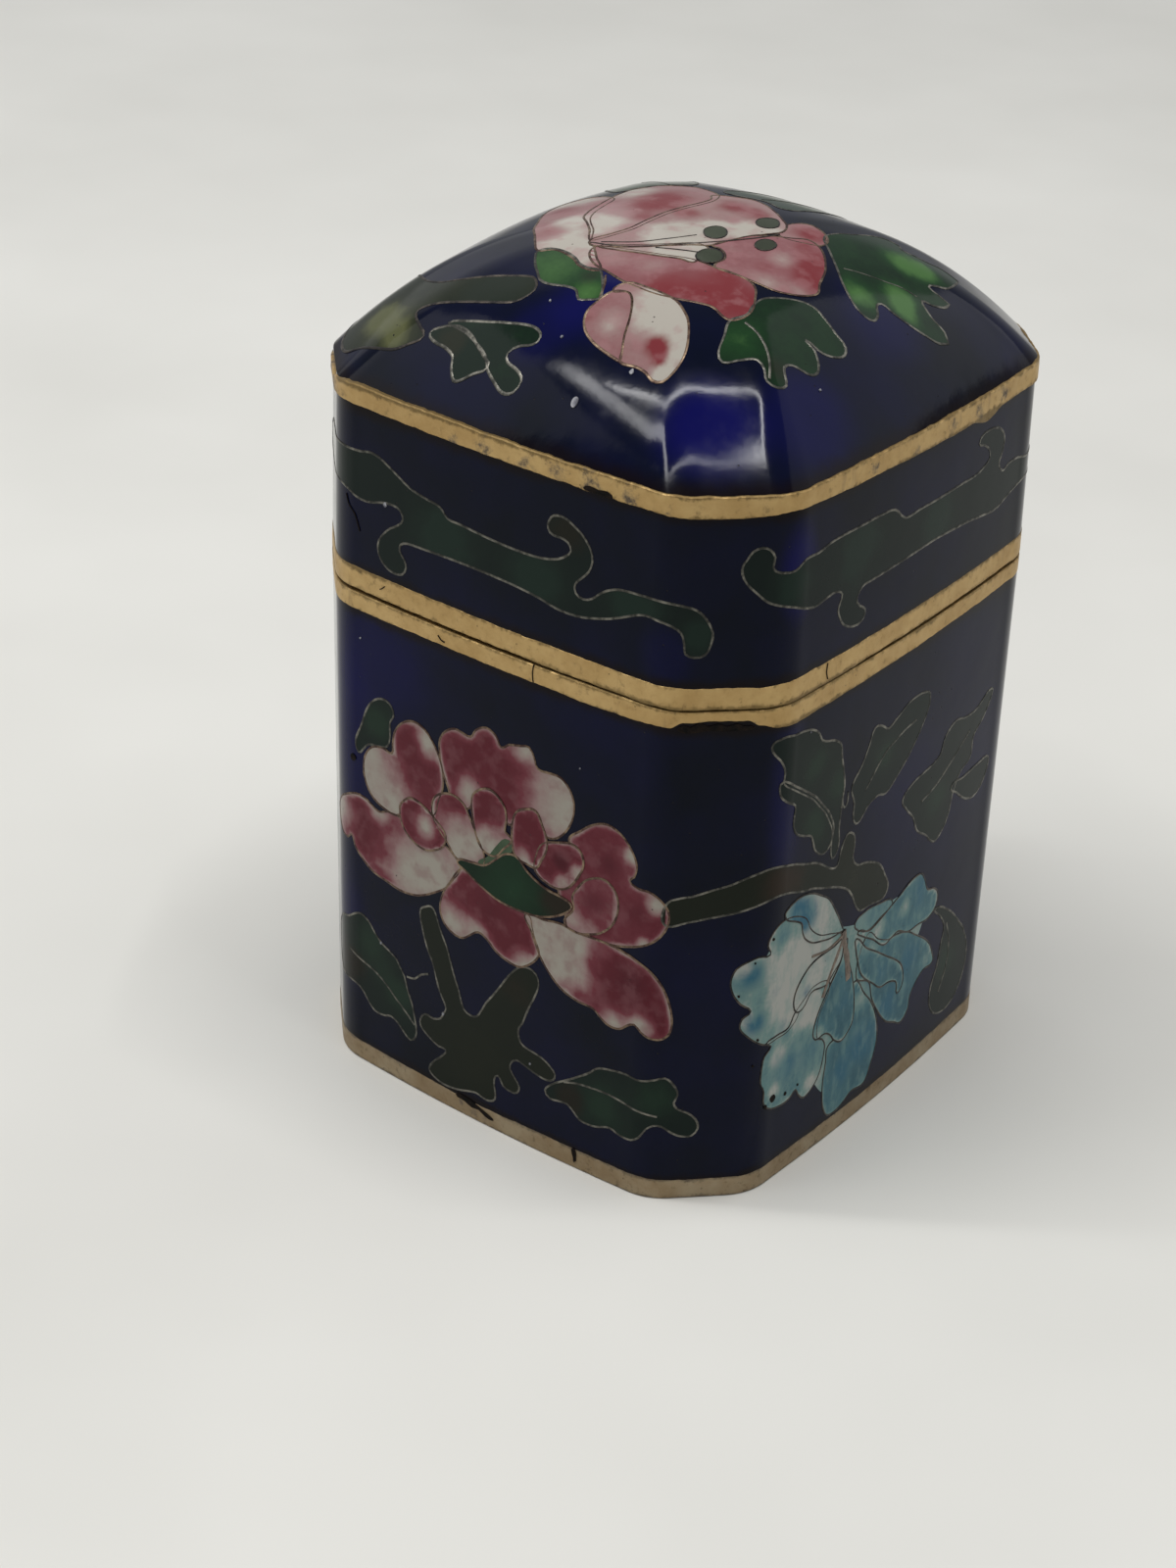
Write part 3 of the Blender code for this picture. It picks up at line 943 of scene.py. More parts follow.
peonyCells = [
    {"layer": 1, "rim": 0.55, "pale": [(-26.3, 23.2, 5.0), (-28.6, 22.0, 3.2), (-38.6, 24.2, 2.2),
                                       (-33.1, 26.2, 1.0)],
     "line": [(-38.8, 24.4), (-38.2, 25.6), (-37.3, 26.3), (-35.7, 27.1), (-34.5, 27.0), (-33.1, 26.4),
              (-32.1, 26.8), (-30.9, 26.9), (-30.0, 26.6), (-29.0, 26.0), (-27.5, 26.0), (-26.0, 26.3),
              (-24.6, 25.6), (-23.9, 24.7), (-24.7, 23.2), (-25.5, 22.1), (-26.8, 21.1), (-27.9, 20.4),
              (-29.1, 19.9), (-30.7, 19.7), (-32.1, 19.9), (-33.8, 20.2), (-35.0, 20.9), (-35.9, 21.8),
              (-36.4, 22.8), (-36.9, 22.3), (-38.0, 22.5)]},
    {"layer": 1, "rim": 0.6, "pale": [(-13.6, 34.2, 3.6), (-17.2, 38.2, 1.5), (-14.0, 36.2, 1.8),
                                      (-23.0, 32.0, 1.5)],
     "line": [(-25.2, 31.6), (-25.9, 33.2), (-26.2, 34.6), (-26.2, 35.9), (-25.6, 36.9), (-24.6, 37.5),
              (-23.6, 37.4), (-22.9, 37.4), (-22.4, 38.2), (-21.3, 38.8), (-20.3, 38.4), (-19.8, 37.6),
              (-19.0, 38.1), (-17.9, 38.4), (-17.0, 38.6), (-16.5, 37.9), (-16.1, 37.0), (-15.0, 37.0),
              (-13.9, 37.0), (-13.0, 36.3), (-12.5, 35.1), (-12.6, 33.7), (-13.3, 32.2), (-14.4, 31.2),
              (-15.6, 31.2), (-16.5, 31.8), (-17.4, 32.1), (-18.2, 31.4), (-18.9, 30.8), (-19.5, 31.5),
              (-20.5, 32.5), (-21.6, 32.1), (-22.6, 31.3), (-23.2, 30.6), (-24.0, 30.6), (-25.0, 31.0)]},
    {"layer": 1, "rim": 0.5, "pale": [(-6.9, 32.4, 0.9), (-4.4, 28.7, 0.9), (-5.4, 24.6, 0.7)], "base": 0.12,
     "tone": [(-6.3, 27.2, 1.6, 0.45), (-9.1, 30.9, 1.6, 0.5)],
     "line": [(-12.9, 31.7), (-11.8, 32.9), (-10.6, 33.9), (-9.3, 34.4), (-8.0, 34.0), (-7.0, 33.0),
              (-6.4, 31.7), (-6.6, 30.6), (-7.0, 30.1), (-6.2, 29.7), (-5.2, 29.7), (-4.3, 29.2),
              (-3.6, 28.2), (-3.6, 26.9), (-4.2, 25.7), (-5.2, 24.8), (-6.6, 24.1), (-8.2, 23.6),
              (-9.8, 23.4), (-11.3, 23.3), (-12.6, 23.3), (-13.0, 24.4), (-13.2, 25.6), (-13.8, 26.6),
              (-12.9, 27.6), (-12.2, 29.0), (-11.8, 30.3), (-12.2, 31.0)]},
    {"layer": 2, "rim": 0.5, "pale": [(-33.6, 29.4, 3.2), (-31.4, 28.0, 2.6), (-27.2, 35.4, 1.5),
                                      (-34.0, 31.6, 1.4)],
     "line": [(-31.0, 26.9), (-32.5, 27.0), (-33.8, 27.6), (-34.6, 28.8), (-34.8, 30.0), (-34.6, 31.2),
              (-33.8, 32.3), (-32.6, 32.7), (-31.5, 32.6), (-31.4, 33.6), (-31.1, 34.9), (-30.2, 36.0),
              (-29.0, 36.5), (-27.8, 36.2), (-26.8, 35.2), (-26.1, 33.9), (-25.8, 32.5), (-25.9, 31.3),
              (-26.3, 30.2), (-26.8, 28.6), (-28.0, 28.4), (-29.4, 28.2), (-30.3, 27.6)]},
    {"layer": 2, "rim": 0.55, "pale": [(-24.8, 18.9, 2.0), (-21.9, 19.2, 1.2), (-17.0, 17.9, 1.4)],
     "tone": [(-20.6, 21.8, 2.2, 0.4)],
     "line": [(-24.0, 24.5), (-25.0, 22.9), (-25.8, 21.4), (-26.1, 19.8), (-25.6, 18.6), (-24.6, 18.0),
              (-23.6, 18.0), (-22.6, 18.8), (-21.9, 19.3), (-21.0, 19.0), (-20.0, 18.2), (-18.8, 17.8),
              (-17.6, 17.7), (-16.6, 18.3), (-15.8, 19.2), (-15.5, 20.0), (-16.0, 21.2), (-16.3, 22.2),
              (-16.6, 23.1), (-18.6, 23.6), (-20.4, 23.8), (-22.2, 24.4), (-23.2, 24.9)]},
    {"layer": 3, "rim": 0.45, "pale": [(-15.8, 22.2, 3.9), (-13.6, 19.8, 2.8), (-12.8, 22.6, 3.0),
                                       (-8.0, 16.2, 1.3), (-5.6, 16.9, 1.1)],
                                       "tone": [(-6.6, 20.6, 2.6, 0.55)],
     "line": [(-17.0, 23.1), (-16.4, 21.8), (-15.6, 20.0), (-14.6, 18.6), (-13.2, 17.4), (-11.6, 16.9),
              (-10.0, 16.8), (-9.2, 16.2), (-8.4, 15.8), (-7.4, 15.9), (-6.7, 16.5), (-6.0, 16.9),
              (-5.4, 16.4), (-4.6, 16.0), (-3.6, 16.1), (-3.0, 16.8), (-2.9, 18.0), (-3.2, 19.6),
              (-3.9, 21.3), (-5.0, 22.5), (-6.6, 23.2), (-8.4, 23.5), (-10.2, 23.5), (-12.0, 23.4),
              (-13.4, 23.6), (-15.2, 23.3)]},
    {"layer": 3, "rim": 0.3, "pale": [(-24.6, 26.6, 2.6), (-22.8, 27.2, 2.2)],
     "line": [(-27.0, 29.6), (-26.5, 30.6), (-25.1, 31.3), (-23.7, 31.0), (-22.9, 29.9), (-22.3, 28.7),
              (-21.6, 27.6), (-21.4, 26.1), (-23.1, 25.6), (-24.3, 25.5), (-25.3, 26.6), (-26.3, 27.6),
              (-26.9, 28.4)]},
    {"layer": 4, "rim": 0.25, "pale": [(-27.7, 27.2, 1.2)],
     "line": [(-30.6, 27.9), (-30.2, 28.6), (-29.3, 29.25), (-27.9, 29.0), (-26.5, 28.2), (-25.5, 27.2),
              (-25.8, 26.0), (-26.9, 25.2), (-27.9, 24.9), (-29.3, 25.3), (-30.3, 26.3)]},
    {"layer": 4, "rim": 0.3, "pale": [(-20.4, 28.2, 1.8), (-21.5, 28.0, 1.2)],
     "line": [(-22.7, 31.9), (-21.8, 33.0), (-20.6, 33.3), (-19.4, 32.4), (-19.1, 31.3), (-19.2, 30.0),
              (-18.5, 29.6), (-19.4, 28.3), (-20.3, 27.3), (-21.7, 27.6), (-22.4, 29.3)]},
    {"layer": 2, "rim": 0.3, "base": 0.28, "pale": [(-12.3, 24.4, 1.0, 0.6), (-10.4, 24.0, 0.8, 0.5)],
     "tone": [(-10.3, 26.9, 1.7, 0.5)],
     "line": [(-12.2, 25.5), (-13.1, 24.1), (-12.8, 23.5), (-11.7, 23.4), (-10.4, 23.8), (-9.5, 24.3),
              (-8.5, 25.4), (-8.0, 26.8), (-8.1, 28.2), (-8.8, 29.1), (-9.7, 29.3), (-11.0, 28.7),
              (-11.9, 27.6), (-12.4, 26.5)]},
    {"layer": 3, "rim": 0.3, "pale": [(-11.9, 29.0, 0.8), (-13.4, 27.4, 0.8)], "tone": [(-13.6, 29.5, 0.9)],
     "line": [(-15.4, 30.4), (-13.8, 31.1), (-12.6, 31.4), (-11.7, 31.0), (-11.4, 29.9), (-11.9, 28.6),
              (-12.6, 27.5), (-13.4, 26.9), (-14.6, 26.8), (-16.1, 27.6), (-16.0, 29.2)]},
    {"layer": 4, "rim": 0.2, "pale": [(-17.3, 28.3, 0.9)],
     "line": [(-18.5, 31.0), (-18.1, 32.3), (-17.2, 32.9), (-16.2, 33.1), (-15.5, 32.0), (-15.0, 30.8),
              (-15.0, 30.0), (-15.5, 28.8), (-16.0, 27.9), (-17.0, 27.9), (-18.0, 28.1), (-18.4, 28.9)]},
]
peonyGreens = [
    {"layer": 5, "base": 0.1, "pale": [(-18.6, 25.2, 2.4, 0.5)], "tone": [(-13.2, 25.3, 2.2)],
     "line": [(-24.2, 25.3), (-22.6, 25.8), (-21.4, 26.0), (-20.4, 26.8), (-19.4, 27.8), (-18.5, 28.2),
              (-17.8, 28.1), (-17.0, 27.3), (-16.0, 26.7), (-14.8, 26.3), (-13.2, 26.1), (-12.4, 25.7),
              (-12.9, 24.9), (-14.2, 24.0), (-15.8, 23.4), (-17.8, 23.2), (-19.8, 23.3), (-21.6, 23.9),
              (-23.2, 24.7)]},
    {"layer": 4.5, "base": 0.85, "wired": False,
     "line": [(-22.0, 26.1), (-21.0, 27.0), (-20.0, 28.5), (-19.2, 29.4), (-18.4, 29.2), (-18.5, 28.4),
              (-19.5, 27.6), (-20.5, 26.7), (-21.4, 26.0)]},
]

# the chrysanthemum on the right face

bloomCells = [
    {"layer": 0.5, "base": 0.7, "wired": False, "tone": [(21.0, 15.0, 2.6), (18.0, 7.0, 2.0)],
     "pale": [(11.0, 18.6, 2.4)],
     "line": [(6.0, 25.0), (9.6, 24.8), (12.6, 22.6), (16.0, 21.0), (19.0, 20.4), (24.0, 20.2), (28.0, 17.2),
              (26.0, 13.0), (21.0, 11.0), (19.4, 7.4), (14.6, 5.0), (11.4, 8.0), (7.0, 10.0), (5.6, 15.0),
              (3.6, 20.0)]},
    {"layer": 1, "base": 0.66, "rim": 0.5,
     "pale": [(10.5, 20.4, 2.6), (8.0, 18.0, 2.4, 0.8), (6.6, 21.8, 1.6, 0.5), (2.6, 22.4, 0.7),
              (3.0, 17.8, 0.6)],
     "tone": [(3.3, 21.6, 1.3, 0.9), (4.2, 17.2, 1.2, 0.7), (6.4, 24.6, 1.0, 0.6), (6.4, 19.4, 0.9, 0.3),
              (7.2, 15.6, 0.9, 0.4)],
     "line": [(5.0, 23.4), (4.7, 24.3), (5.0, 25.2), (5.8, 25.9), (6.9, 26.0), (8.2, 25.6), (9.4, 24.8),
              (10.2, 23.4), (11.6, 22.2), (13.4, 21.5), (14.8, 20.6), (13.4, 19.8), (11.2, 19.6),
              (10.3, 19.2), (9.6, 18.2), (9.0, 16.8), (9.3, 15.6), (8.0, 14.6), (6.5, 14.6), (5.2, 14.6),
              (4.3, 15.1), (3.4, 15.9), (2.7, 16.8), (2.8, 17.7), (3.5, 18.4), (2.6, 19.2), (1.9, 20.3),
              (1.7, 21.5), (2.1, 22.6), (2.8, 23.1), (3.9, 23.5)]},
    {"layer": 1, "base": 0.25, "rim": 0.4,
     "pale": [(18.6, 12.4, 1.2, 0.7), (18.4, 9.0, 0.9, 0.3), (17.6, 6.0, 0.8, 0.25)],
     "tone": [(19.4, 7.4, 2.4, 0.9), (16.0, 6.4, 1.8, 0.7)],
     "line": [(14.0, 9.9), (13.9, 8.4), (13.7, 6.5), (13.8, 4.7), (14.2, 3.2), (14.9, 2.3), (16.2, 2.2),
              (17.2, 2.5), (18.3, 3.0), (20.2, 2.8), (21.1, 4.3), (21.7, 6.0), (21.7, 7.8), (21.1, 9.7),
              (20.3, 11.2), (19.6, 12.1), (19.0, 12.8), (17.5, 14.8), (16.8, 14.0), (16.8, 11.2),
              (16.2, 10.4), (15.5, 10.2)]},
    {"layer": 1, "base": 0.22, "rim": 0.4, "pale": [(19.4, 16.4, 1.4, 0.5), (29.0, 11.0, 1.2, 0.4)],
     "tone": [(23.2, 9.6, 2.2, 0.8), (26.4, 12.6, 2.0, 0.7)],
     "line": [(17.5, 15.2), (19.6, 13.6), (20.3, 11.6), (21.6, 9.5), (23.0, 7.8), (24.5, 6.9), (25.6, 6.3),
              (26.7, 7.1), (26.9, 8.4), (27.8, 9.5), (28.9, 10.1), (30.4, 10.1), (30.2, 11.2), (29.5, 12.5),
              (28.4, 13.6), (26.9, 14.7), (25.2, 15.9), (23.3, 16.5), (22.2, 16.6), (20.5, 17.5),
              (18.7, 18.8)]},
    {"layer": 1, "base": 0.55, "tone": [(19.6, 20.6, 1.4, 0.5)],
     "line": [(16.6, 20.9), (18.0, 21.4), (20.0, 21.2), (22.3, 20.3), (20.5, 19.6), (18.8, 19.2),
              (17.4, 19.8)]},
    {"layer": 2, "base": 0.85, "rim": 0.4, "tone": [(8.2, 26.0, 1.5), (9.4, 25.0, 1.3)],
     "line": [(6.5, 26.7), (7.5, 27.2), (8.8, 27.3), (10.1, 26.9), (11.2, 26.2), (12.3, 25.4), (13.1, 24.3),
              (14.0, 22.8), (14.9, 21.1), (14.9, 21.1), (13.1, 21.2), (11.6, 21.6), (10.5, 22.0), (9.5, 22.8),
              (9.0, 23.7), (8.8, 24.6), (8.0, 25.2), (6.9, 25.8), (6.5, 26.3)]},
    {"layer": 2, "base": 0.5, "rim": 0.5,
     "pale": [(10.6, 15.6, 2.0), (6.4, 9.2, 0.8, 0.6), (11.6, 7.6, 0.8, 0.6), (7.2, 12.8, 1.2, 0.5)],
     "tone": [(8.4, 11.4, 1.8, 0.6), (11.4, 10.4, 1.4, 0.6)],
     "line": [(13.3, 16.9), (13.4, 15.7), (12.7, 14.7), (12.2, 13.6), (12.1, 12.7), (12.3, 11.6),
              (13.0, 11.2), (13.5, 10.3), (13.3, 8.6), (12.9, 7.5), (12.1, 6.7), (11.0, 6.3), (10.1, 7.1),
              (9.7, 7.8), (8.8, 7.3), (7.5, 7.3), (6.2, 7.7), (5.4, 8.6), (5.3, 9.9), (4.9, 10.8),
              (4.9, 12.3), (5.1, 13.4), (5.8, 14.2), (5.2, 14.7), (6.5, 14.9), (8.0, 14.9), (8.8, 16.0),
              (10.0, 16.8), (11.2, 17.4)]},
    {"layer": 2, "base": 0.2, "rim": 0.35, "pale": [(18.2, 17.6, 1.0, 0.4)], "tone": [(21.6, 13.8, 1.6, 0.4)],
     "line": [(17.0, 19.2), (18.7, 17.5), (20.5, 16.2), (22.2, 14.9), (23.7, 13.8), (24.8, 12.7),
              (25.3, 11.4), (25.2, 10.3), (24.5, 9.9), (24.2, 11.2), (23.0, 11.9), (21.5, 12.1), (20.3, 13.1),
              (19.0, 14.2), (18.1, 15.3), (17.5, 16.8), (17.1, 18.1)]},
    {"layer": 2, "base": 0.3, "rim": 0.4, "pale": [(24.4, 18.8, 0.9, 0.6), (20.4, 18.4, 1.0, 0.6)],
     "tone": [(27.0, 19.2, 1.8, 0.6)],
     "line": [(17.2, 19.8), (18.9, 19.1), (20.5, 19.4), (22.2, 20.0), (23.7, 20.5), (25.0, 21.0),
              (26.7, 21.0), (27.4, 20.2), (28.2, 18.7), (29.3, 18.3), (30.1, 17.4), (29.9, 16.1),
              (28.7, 15.5), (27.1, 15.7), (25.4, 15.8), (23.7, 16.7), (22.8, 16.6), (21.5, 16.4),
              (19.6, 17.9), (18.1, 18.9)]},
    {"layer": 3, "base": 0.95, "tone": [(10.0, 17.4, 0.7, 0.5), (12.8, 19.4, 0.7, 0.4)],
     "line": [(14.9, 20.2), (13.8, 20.1), (11.2, 20.0), (10.1, 19.6), (9.0, 18.6), (8.5, 17.5), (8.7, 16.3),
              (9.3, 15.8), (10.1, 16.1), (10.6, 16.8), (11.2, 17.0), (12.1, 16.8), (13.1, 16.7), (13.9, 17.4),
              (14.9, 18.3)]},
    {"layer": 3, "base": 0.15, "rim": 0.3, "pale": [(15.2, 18.8, 1.0, 0.8), (12.6, 12.0, 0.8, 0.6)],
     "tone": [(15.8, 13.4, 1.6, 0.5)],
     "line": [(15.4, 20.0), (14.9, 18.1), (13.8, 16.6), (13.1, 15.7), (12.1, 14.2), (11.6, 12.5),
              (12.1, 11.6), (13.3, 11.6), (14.2, 11.0), (14.9, 10.1), (15.9, 9.5), (16.8, 9.9), (17.5, 10.8),
              (17.5, 12.3), (17.3, 13.8), (16.8, 15.7), (16.2, 17.2), (15.7, 18.6)]},
]

bloomHeart = [
    {"layer": 3.6, "line": [(14.9, 21.0), (15.2, 19.6), (15.8, 17.8), (16.2, 15.6)], "width": 0.8},
    {"layer": 3.6, "line": [(15.1, 20.6), (14.4, 19.2), (13.4, 17.4), (12.6, 15.6)], "width": 0.45},
    {"layer": 3.6, "line": [(14.8, 20.6), (12.8, 20.2), (10.6, 20.6)], "width": 0.22},
]

# leaves, trunk and branch on the walls

leafCells = [
    {"layer": 1, "base": 0.2, "pale": [(-33.0, 35.0, 1.6)],
     "line": [(-35.4, 31.2), (-35.7, 32.2), (-35.0, 34.0), (-34.3, 35.8), (-33.4, 36.9), (-32.3, 37.3),
              (-31.5, 36.9), (-31.3, 36.2), (-31.7, 35.4), (-31.7, 34.2), (-32.0, 33.1), (-32.9, 32.7),
              (-34.2, 32.4), (-34.9, 31.6)]},
    {"layer": 1, "base": 0.12, "pale": [(-34.0, 12.5, 2.4), (-31.0, 9.0, 2.0)], "tone": [(-37.5, 9.4, 2.4)],
     "line": [(-39.6, 11.5), (-38.5, 13.6), (-37.0, 14.3), (-36.0, 15.05), (-35.3, 15.3), (-34.4, 14.9),
              (-33.7, 14.1), (-32.9, 13.4), (-32.0, 13.0), (-31.1, 12.5), (-30.7, 11.9), (-30.2, 11.2),
              (-29.8, 9.9), (-29.3, 8.7), (-29.0, 7.4), (-28.8, 6.3), (-28.9, 5.5), (-29.5, 4.9),
              (-30.2, 5.3), (-31.0, 6.0), (-31.8, 6.3), (-32.7, 6.0), (-33.8, 6.0), (-34.5, 6.6),
              (-35.2, 7.4), (-35.8, 7.8), (-36.6, 7.9), (-38.5, 8.2)]},
    {"layer": 1, "base": 0.10, "pale": [(-9.0, 7.4, 2.6), (-4.0, 10.0, 2.0)], "tone": [(-12.0, 7.0, 1.6)],
     "line": [(-14.6, 6.6), (-14.1, 6.0), (-13.3, 6.1), (-12.3, 6.2), (-11.6, 5.7), (-11.0, 5.2),
              (-10.2, 5.1), (-9.4, 5.2), (-8.0, 5.7), (-7.0, 5.4), (-5.9, 5.4), (-5.2, 5.9), (-4.6, 6.9),
              (-4.0, 7.4), (-3.3, 7.4), (-2.5, 6.8), (-1.7, 6.4), (-0.8, 6.4), (-0.3, 7.1), (-0.5, 8.0),
              (-1.2, 8.7), (-2.1, 9.2), (-2.4, 9.8), (-2.1, 10.6), (-2.5, 11.6), (-3.2, 12.25), (-4.0, 12.0),
              (-5.3, 11.6), (-6.7, 11.7), (-8.1, 11.5), (-9.4, 11.1), (-10.2, 10.3), (-11.6, 9.2),
              (-12.7, 8.4), (-13.8, 7.6)]},
    {"layer": 1, "base": 0.10, "pale": [(9.0, 39.0, 1.6), (12.4, 36.0, 1.6)],
     "line": [(5.2, 39.9), (5.1, 40.45), (4.7, 41.2), (4.1, 41.9), (3.8, 42.5), (3.95, 42.95), (4.4, 43.1),
              (5.1, 43.2), (6.15, 43.0), (7.2, 42.9), (8.05, 42.7), (8.8, 42.3), (9.3, 41.8), (9.7, 41.1),
              (10.4, 40.75), (11.3, 40.45), (11.9, 40.1), (12.4, 39.6), (12.6, 38.5), (13.0, 37.1),
              (13.3, 35.6), (13.2, 34.4), (13.0, 32.0), (13.1, 29.8), (12.3, 29.2), (12.0, 32.0),
              (11.5, 33.0), (10.9, 34.0), (10.0, 35.0), (9.1, 36.0), (7.8, 37.0), (6.3, 38.1), (5.2, 39.0)]},
    {"layer": 2, "base": 0.10, "pale": [(9.6, 33.4, 1.8)],
     "line": [(5.3, 39.2), (4.8, 39.1), (4.8, 38.4), (5.05, 37.8), (5.85, 37.1), (6.7, 36.5), (6.7, 35.6),
              (6.7, 34.6), (7.2, 33.7), (8.2, 33.1), (9.1, 32.7), (9.5, 31.9), (9.8, 31.1), (10.4, 30.5),
              (11.1, 30.2), (11.8, 30.55), (12.1, 31.2), (12.2, 32.1), (11.9, 33.0), (11.3, 34.0),
              (10.4, 35.0), (9.5, 36.05), (8.2, 37.1), (6.7, 38.2)]},
    {"layer": 1, "base": 0.05, "pale": [(19.0, 36.0, 1.6)],
     "line": [(15.7, 31.0), (17.1, 32.1), (18.4, 32.4), (19.6, 32.1), (21.2, 33.1), (22.8, 34.4),
              (24.2, 36.0), (25.2, 37.6), (25.3, 38.9), (24.6, 39.4), (23.2, 39.6), (21.8, 39.4),
              (20.4, 38.8), (19.1, 38.3), (18.2, 38.9), (17.1, 39.2), (16.4, 37.8), (15.6, 36.4),
              (14.4, 34.9), (14.9, 33.2), (15.0, 31.6)]},
    {"layer": 1, "base": 0.05, "pale": [(28.0, 28.0, 2.0)],
     "line": [(22.4, 30.2), (24.0, 31.2), (26.2, 31.5), (28.0, 32.0), (28.6, 33.4), (30.2, 34.3),
              (32.0, 33.9), (33.8, 33.9), (35.8, 34.8), (36.6, 34.6), (35.4, 32.6), (33.8, 31.3),
              (33.6, 29.4), (32.0, 28.6), (31.0, 27.0), (30.6, 25.2), (29.6, 23.8), (28.4, 23.4),
              (26.8, 24.8), (25.3, 25.9), (24.4, 27.6), (23.2, 28.9)]},
    {"layer": 2, "base": 0.05,
     "line": [(30.6, 27.8), (31.7, 26.7), (33.5, 25.3), (35.3, 24.9), (36.7, 26.0), (37.1, 27.8),
              (35.3, 28.0), (32.6, 27.8)]},
    {"layer": 1, "base": 0.08, "pale": [(33.0, 9.0, 1.8)],
     "line": [(30.0, 15.8), (31.2, 14.4), (32.0, 13.0), (31.7, 11.2), (31.4, 9.2), (30.6, 7.2), (30.7, 5.5),
              (31.8, 3.9), (33.8, 3.3), (35.6, 4.0), (36.8, 5.8), (37.0, 8.2), (36.0, 10.6), (34.4, 12.6),
              (32.6, 14.4)]},
]
leafWires = [
    {"line": [(-36.9, 11.1), (-35.5, 10.6), (-33.7, 10.1), (-32.4, 9.4), (-31.3, 8.5), (-30.2, 7.7),
              (-29.0, 6.7)]},
    {"line": [(-12.7, 8.3), (-11.4, 8.7), (-10.0, 8.9), (-8.5, 9.0), (-7.0, 8.85), (-5.8, 8.6), (-4.6, 8.45),
              (-3.7, 8.35)]},
    {"line": [(16.4, 33.7), (18.9, 36.1), (20.2, 36.6), (21.8, 37.1), (23.4, 37.3)]},
    {"line": [(-29.9, 11.3), (-29.0, 11.5), (-28.3, 12.2), (-27.4, 12.7)]},
    {"line": [(13.2, 35.0), (13.2, 34.1), (13.5, 33.4), (13.9, 33.7), (13.9, 34.7)]},
    {"line": [(25.6, 28.6), (27.8, 29.2), (30.4, 30.6), (33.0, 32.2)]},
    {"line": [(32.2, 6.0), (33.2, 8.4), (33.2, 11.0), (32.4, 13.2)]},
]
stemCells = [
    {"layer": 1, "base": 0.15, "pale": [(-22.5, 6.0, 3.0, 0.35)], "tone": [(-17.6, 15.4, 2.0, 0.4)],
     "line": [(-28.3, 18.8), (-27.6, 19.4), (-27.1, 19.6), (-26.7, 19.3), (-26.4, 18.6), (-25.9, 17.4),
              (-25.3, 16.2), (-24.9, 15.0), (-24.5, 13.8), (-24.0, 12.6), (-23.7, 11.6), (-23.4, 10.9),
              (-22.7, 10.6), (-22.0, 10.8), (-21.5, 11.6), (-21.0, 12.6), (-20.2, 13.8), (-19.4, 15.1),
              (-18.6, 16.4), (-17.5, 17.7), (-16.5, 18.0), (-15.8, 17.7), (-15.5, 16.9), (-15.8, 15.7),
              (-16.5, 14.0), (-17.1, 12.3), (-17.5, 11.5), (-17.4, 10.6), (-17.0, 10.1), (-16.1, 9.9),
              (-15.0, 9.7), (-14.1, 9.2), (-13.6, 8.6), (-13.8, 8.0), (-14.4, 7.7), (-15.5, 7.8),
              (-16.6, 8.1), (-17.6, 8.3), (-18.2, 7.8), (-18.3, 7.1), (-17.8, 6.4), (-17.3, 5.7),
              (-17.5, 5.0), (-18.2, 4.8), (-19.0, 5.0), (-19.6, 5.8), (-20.0, 5.2), (-19.9, 3.2),
              (-20.8, 2.7), (-22.0, 2.9), (-24.0, 2.3), (-25.7, 2.1), (-26.8, 2.4), (-27.3, 2.9),
              (-26.8, 3.9), (-25.8, 5.0), (-25.4, 5.8), (-26.2, 5.8), (-27.4, 6.3), (-28.3, 7.0),
              (-28.3, 7.7), (-27.8, 8.4), (-26.8, 8.4), (-26.0, 8.8), (-25.7, 9.4), (-25.4, 10.1),
              (-26.1, 11.5), (-26.5, 12.6), (-26.9, 14.0), (-27.6, 15.4), (-28.2, 17.5)]},
    {"layer": 1, "base": 0.35, "tone": [(6.0, 29.6, 2.6, 0.8)], "pale": [(15.6, 25.6, 2.4, 0.3)],
     "line": [(-3.7, 29.0), (-2.65, 29.5), (-1.8, 29.6), (-0.2, 30.1), (1.2, 30.5), (2.3, 31.0), (3.2, 31.35),
              (4.4, 31.6), (5.3, 31.5), (6.3, 31.2), (7.5, 30.8), (8.6, 30.3), (10.0, 29.8), (11.0, 29.2),
              (11.9, 28.5), (12.6, 28.1), (13.2, 28.1), (13.6, 29.45), (14.2, 30.5), (14.8, 30.5),
              (15.4, 29.9), (15.5, 28.9), (15.4, 27.8), (16.2, 26.8), (17.3, 26.5), (18.7, 25.9),
              (19.8, 25.1), (20.5, 24.0), (21.3, 22.4), (20.7, 21.5), (18.7, 21.8), (17.2, 21.9),
              (16.4, 22.8), (15.9, 23.8), (15.1, 24.9), (14.1, 25.6), (12.9, 26.2), (11.4, 26.8),
              (10.0, 27.4), (8.5, 27.8), (7.2, 28.3), (5.85, 28.7), (5.0, 28.75), (3.4, 28.4), (1.75, 27.9),
              (-0.2, 27.55), (-2.1, 27.2), (-3.9, 27.0)]},
]

# cloud scrolls round the lid

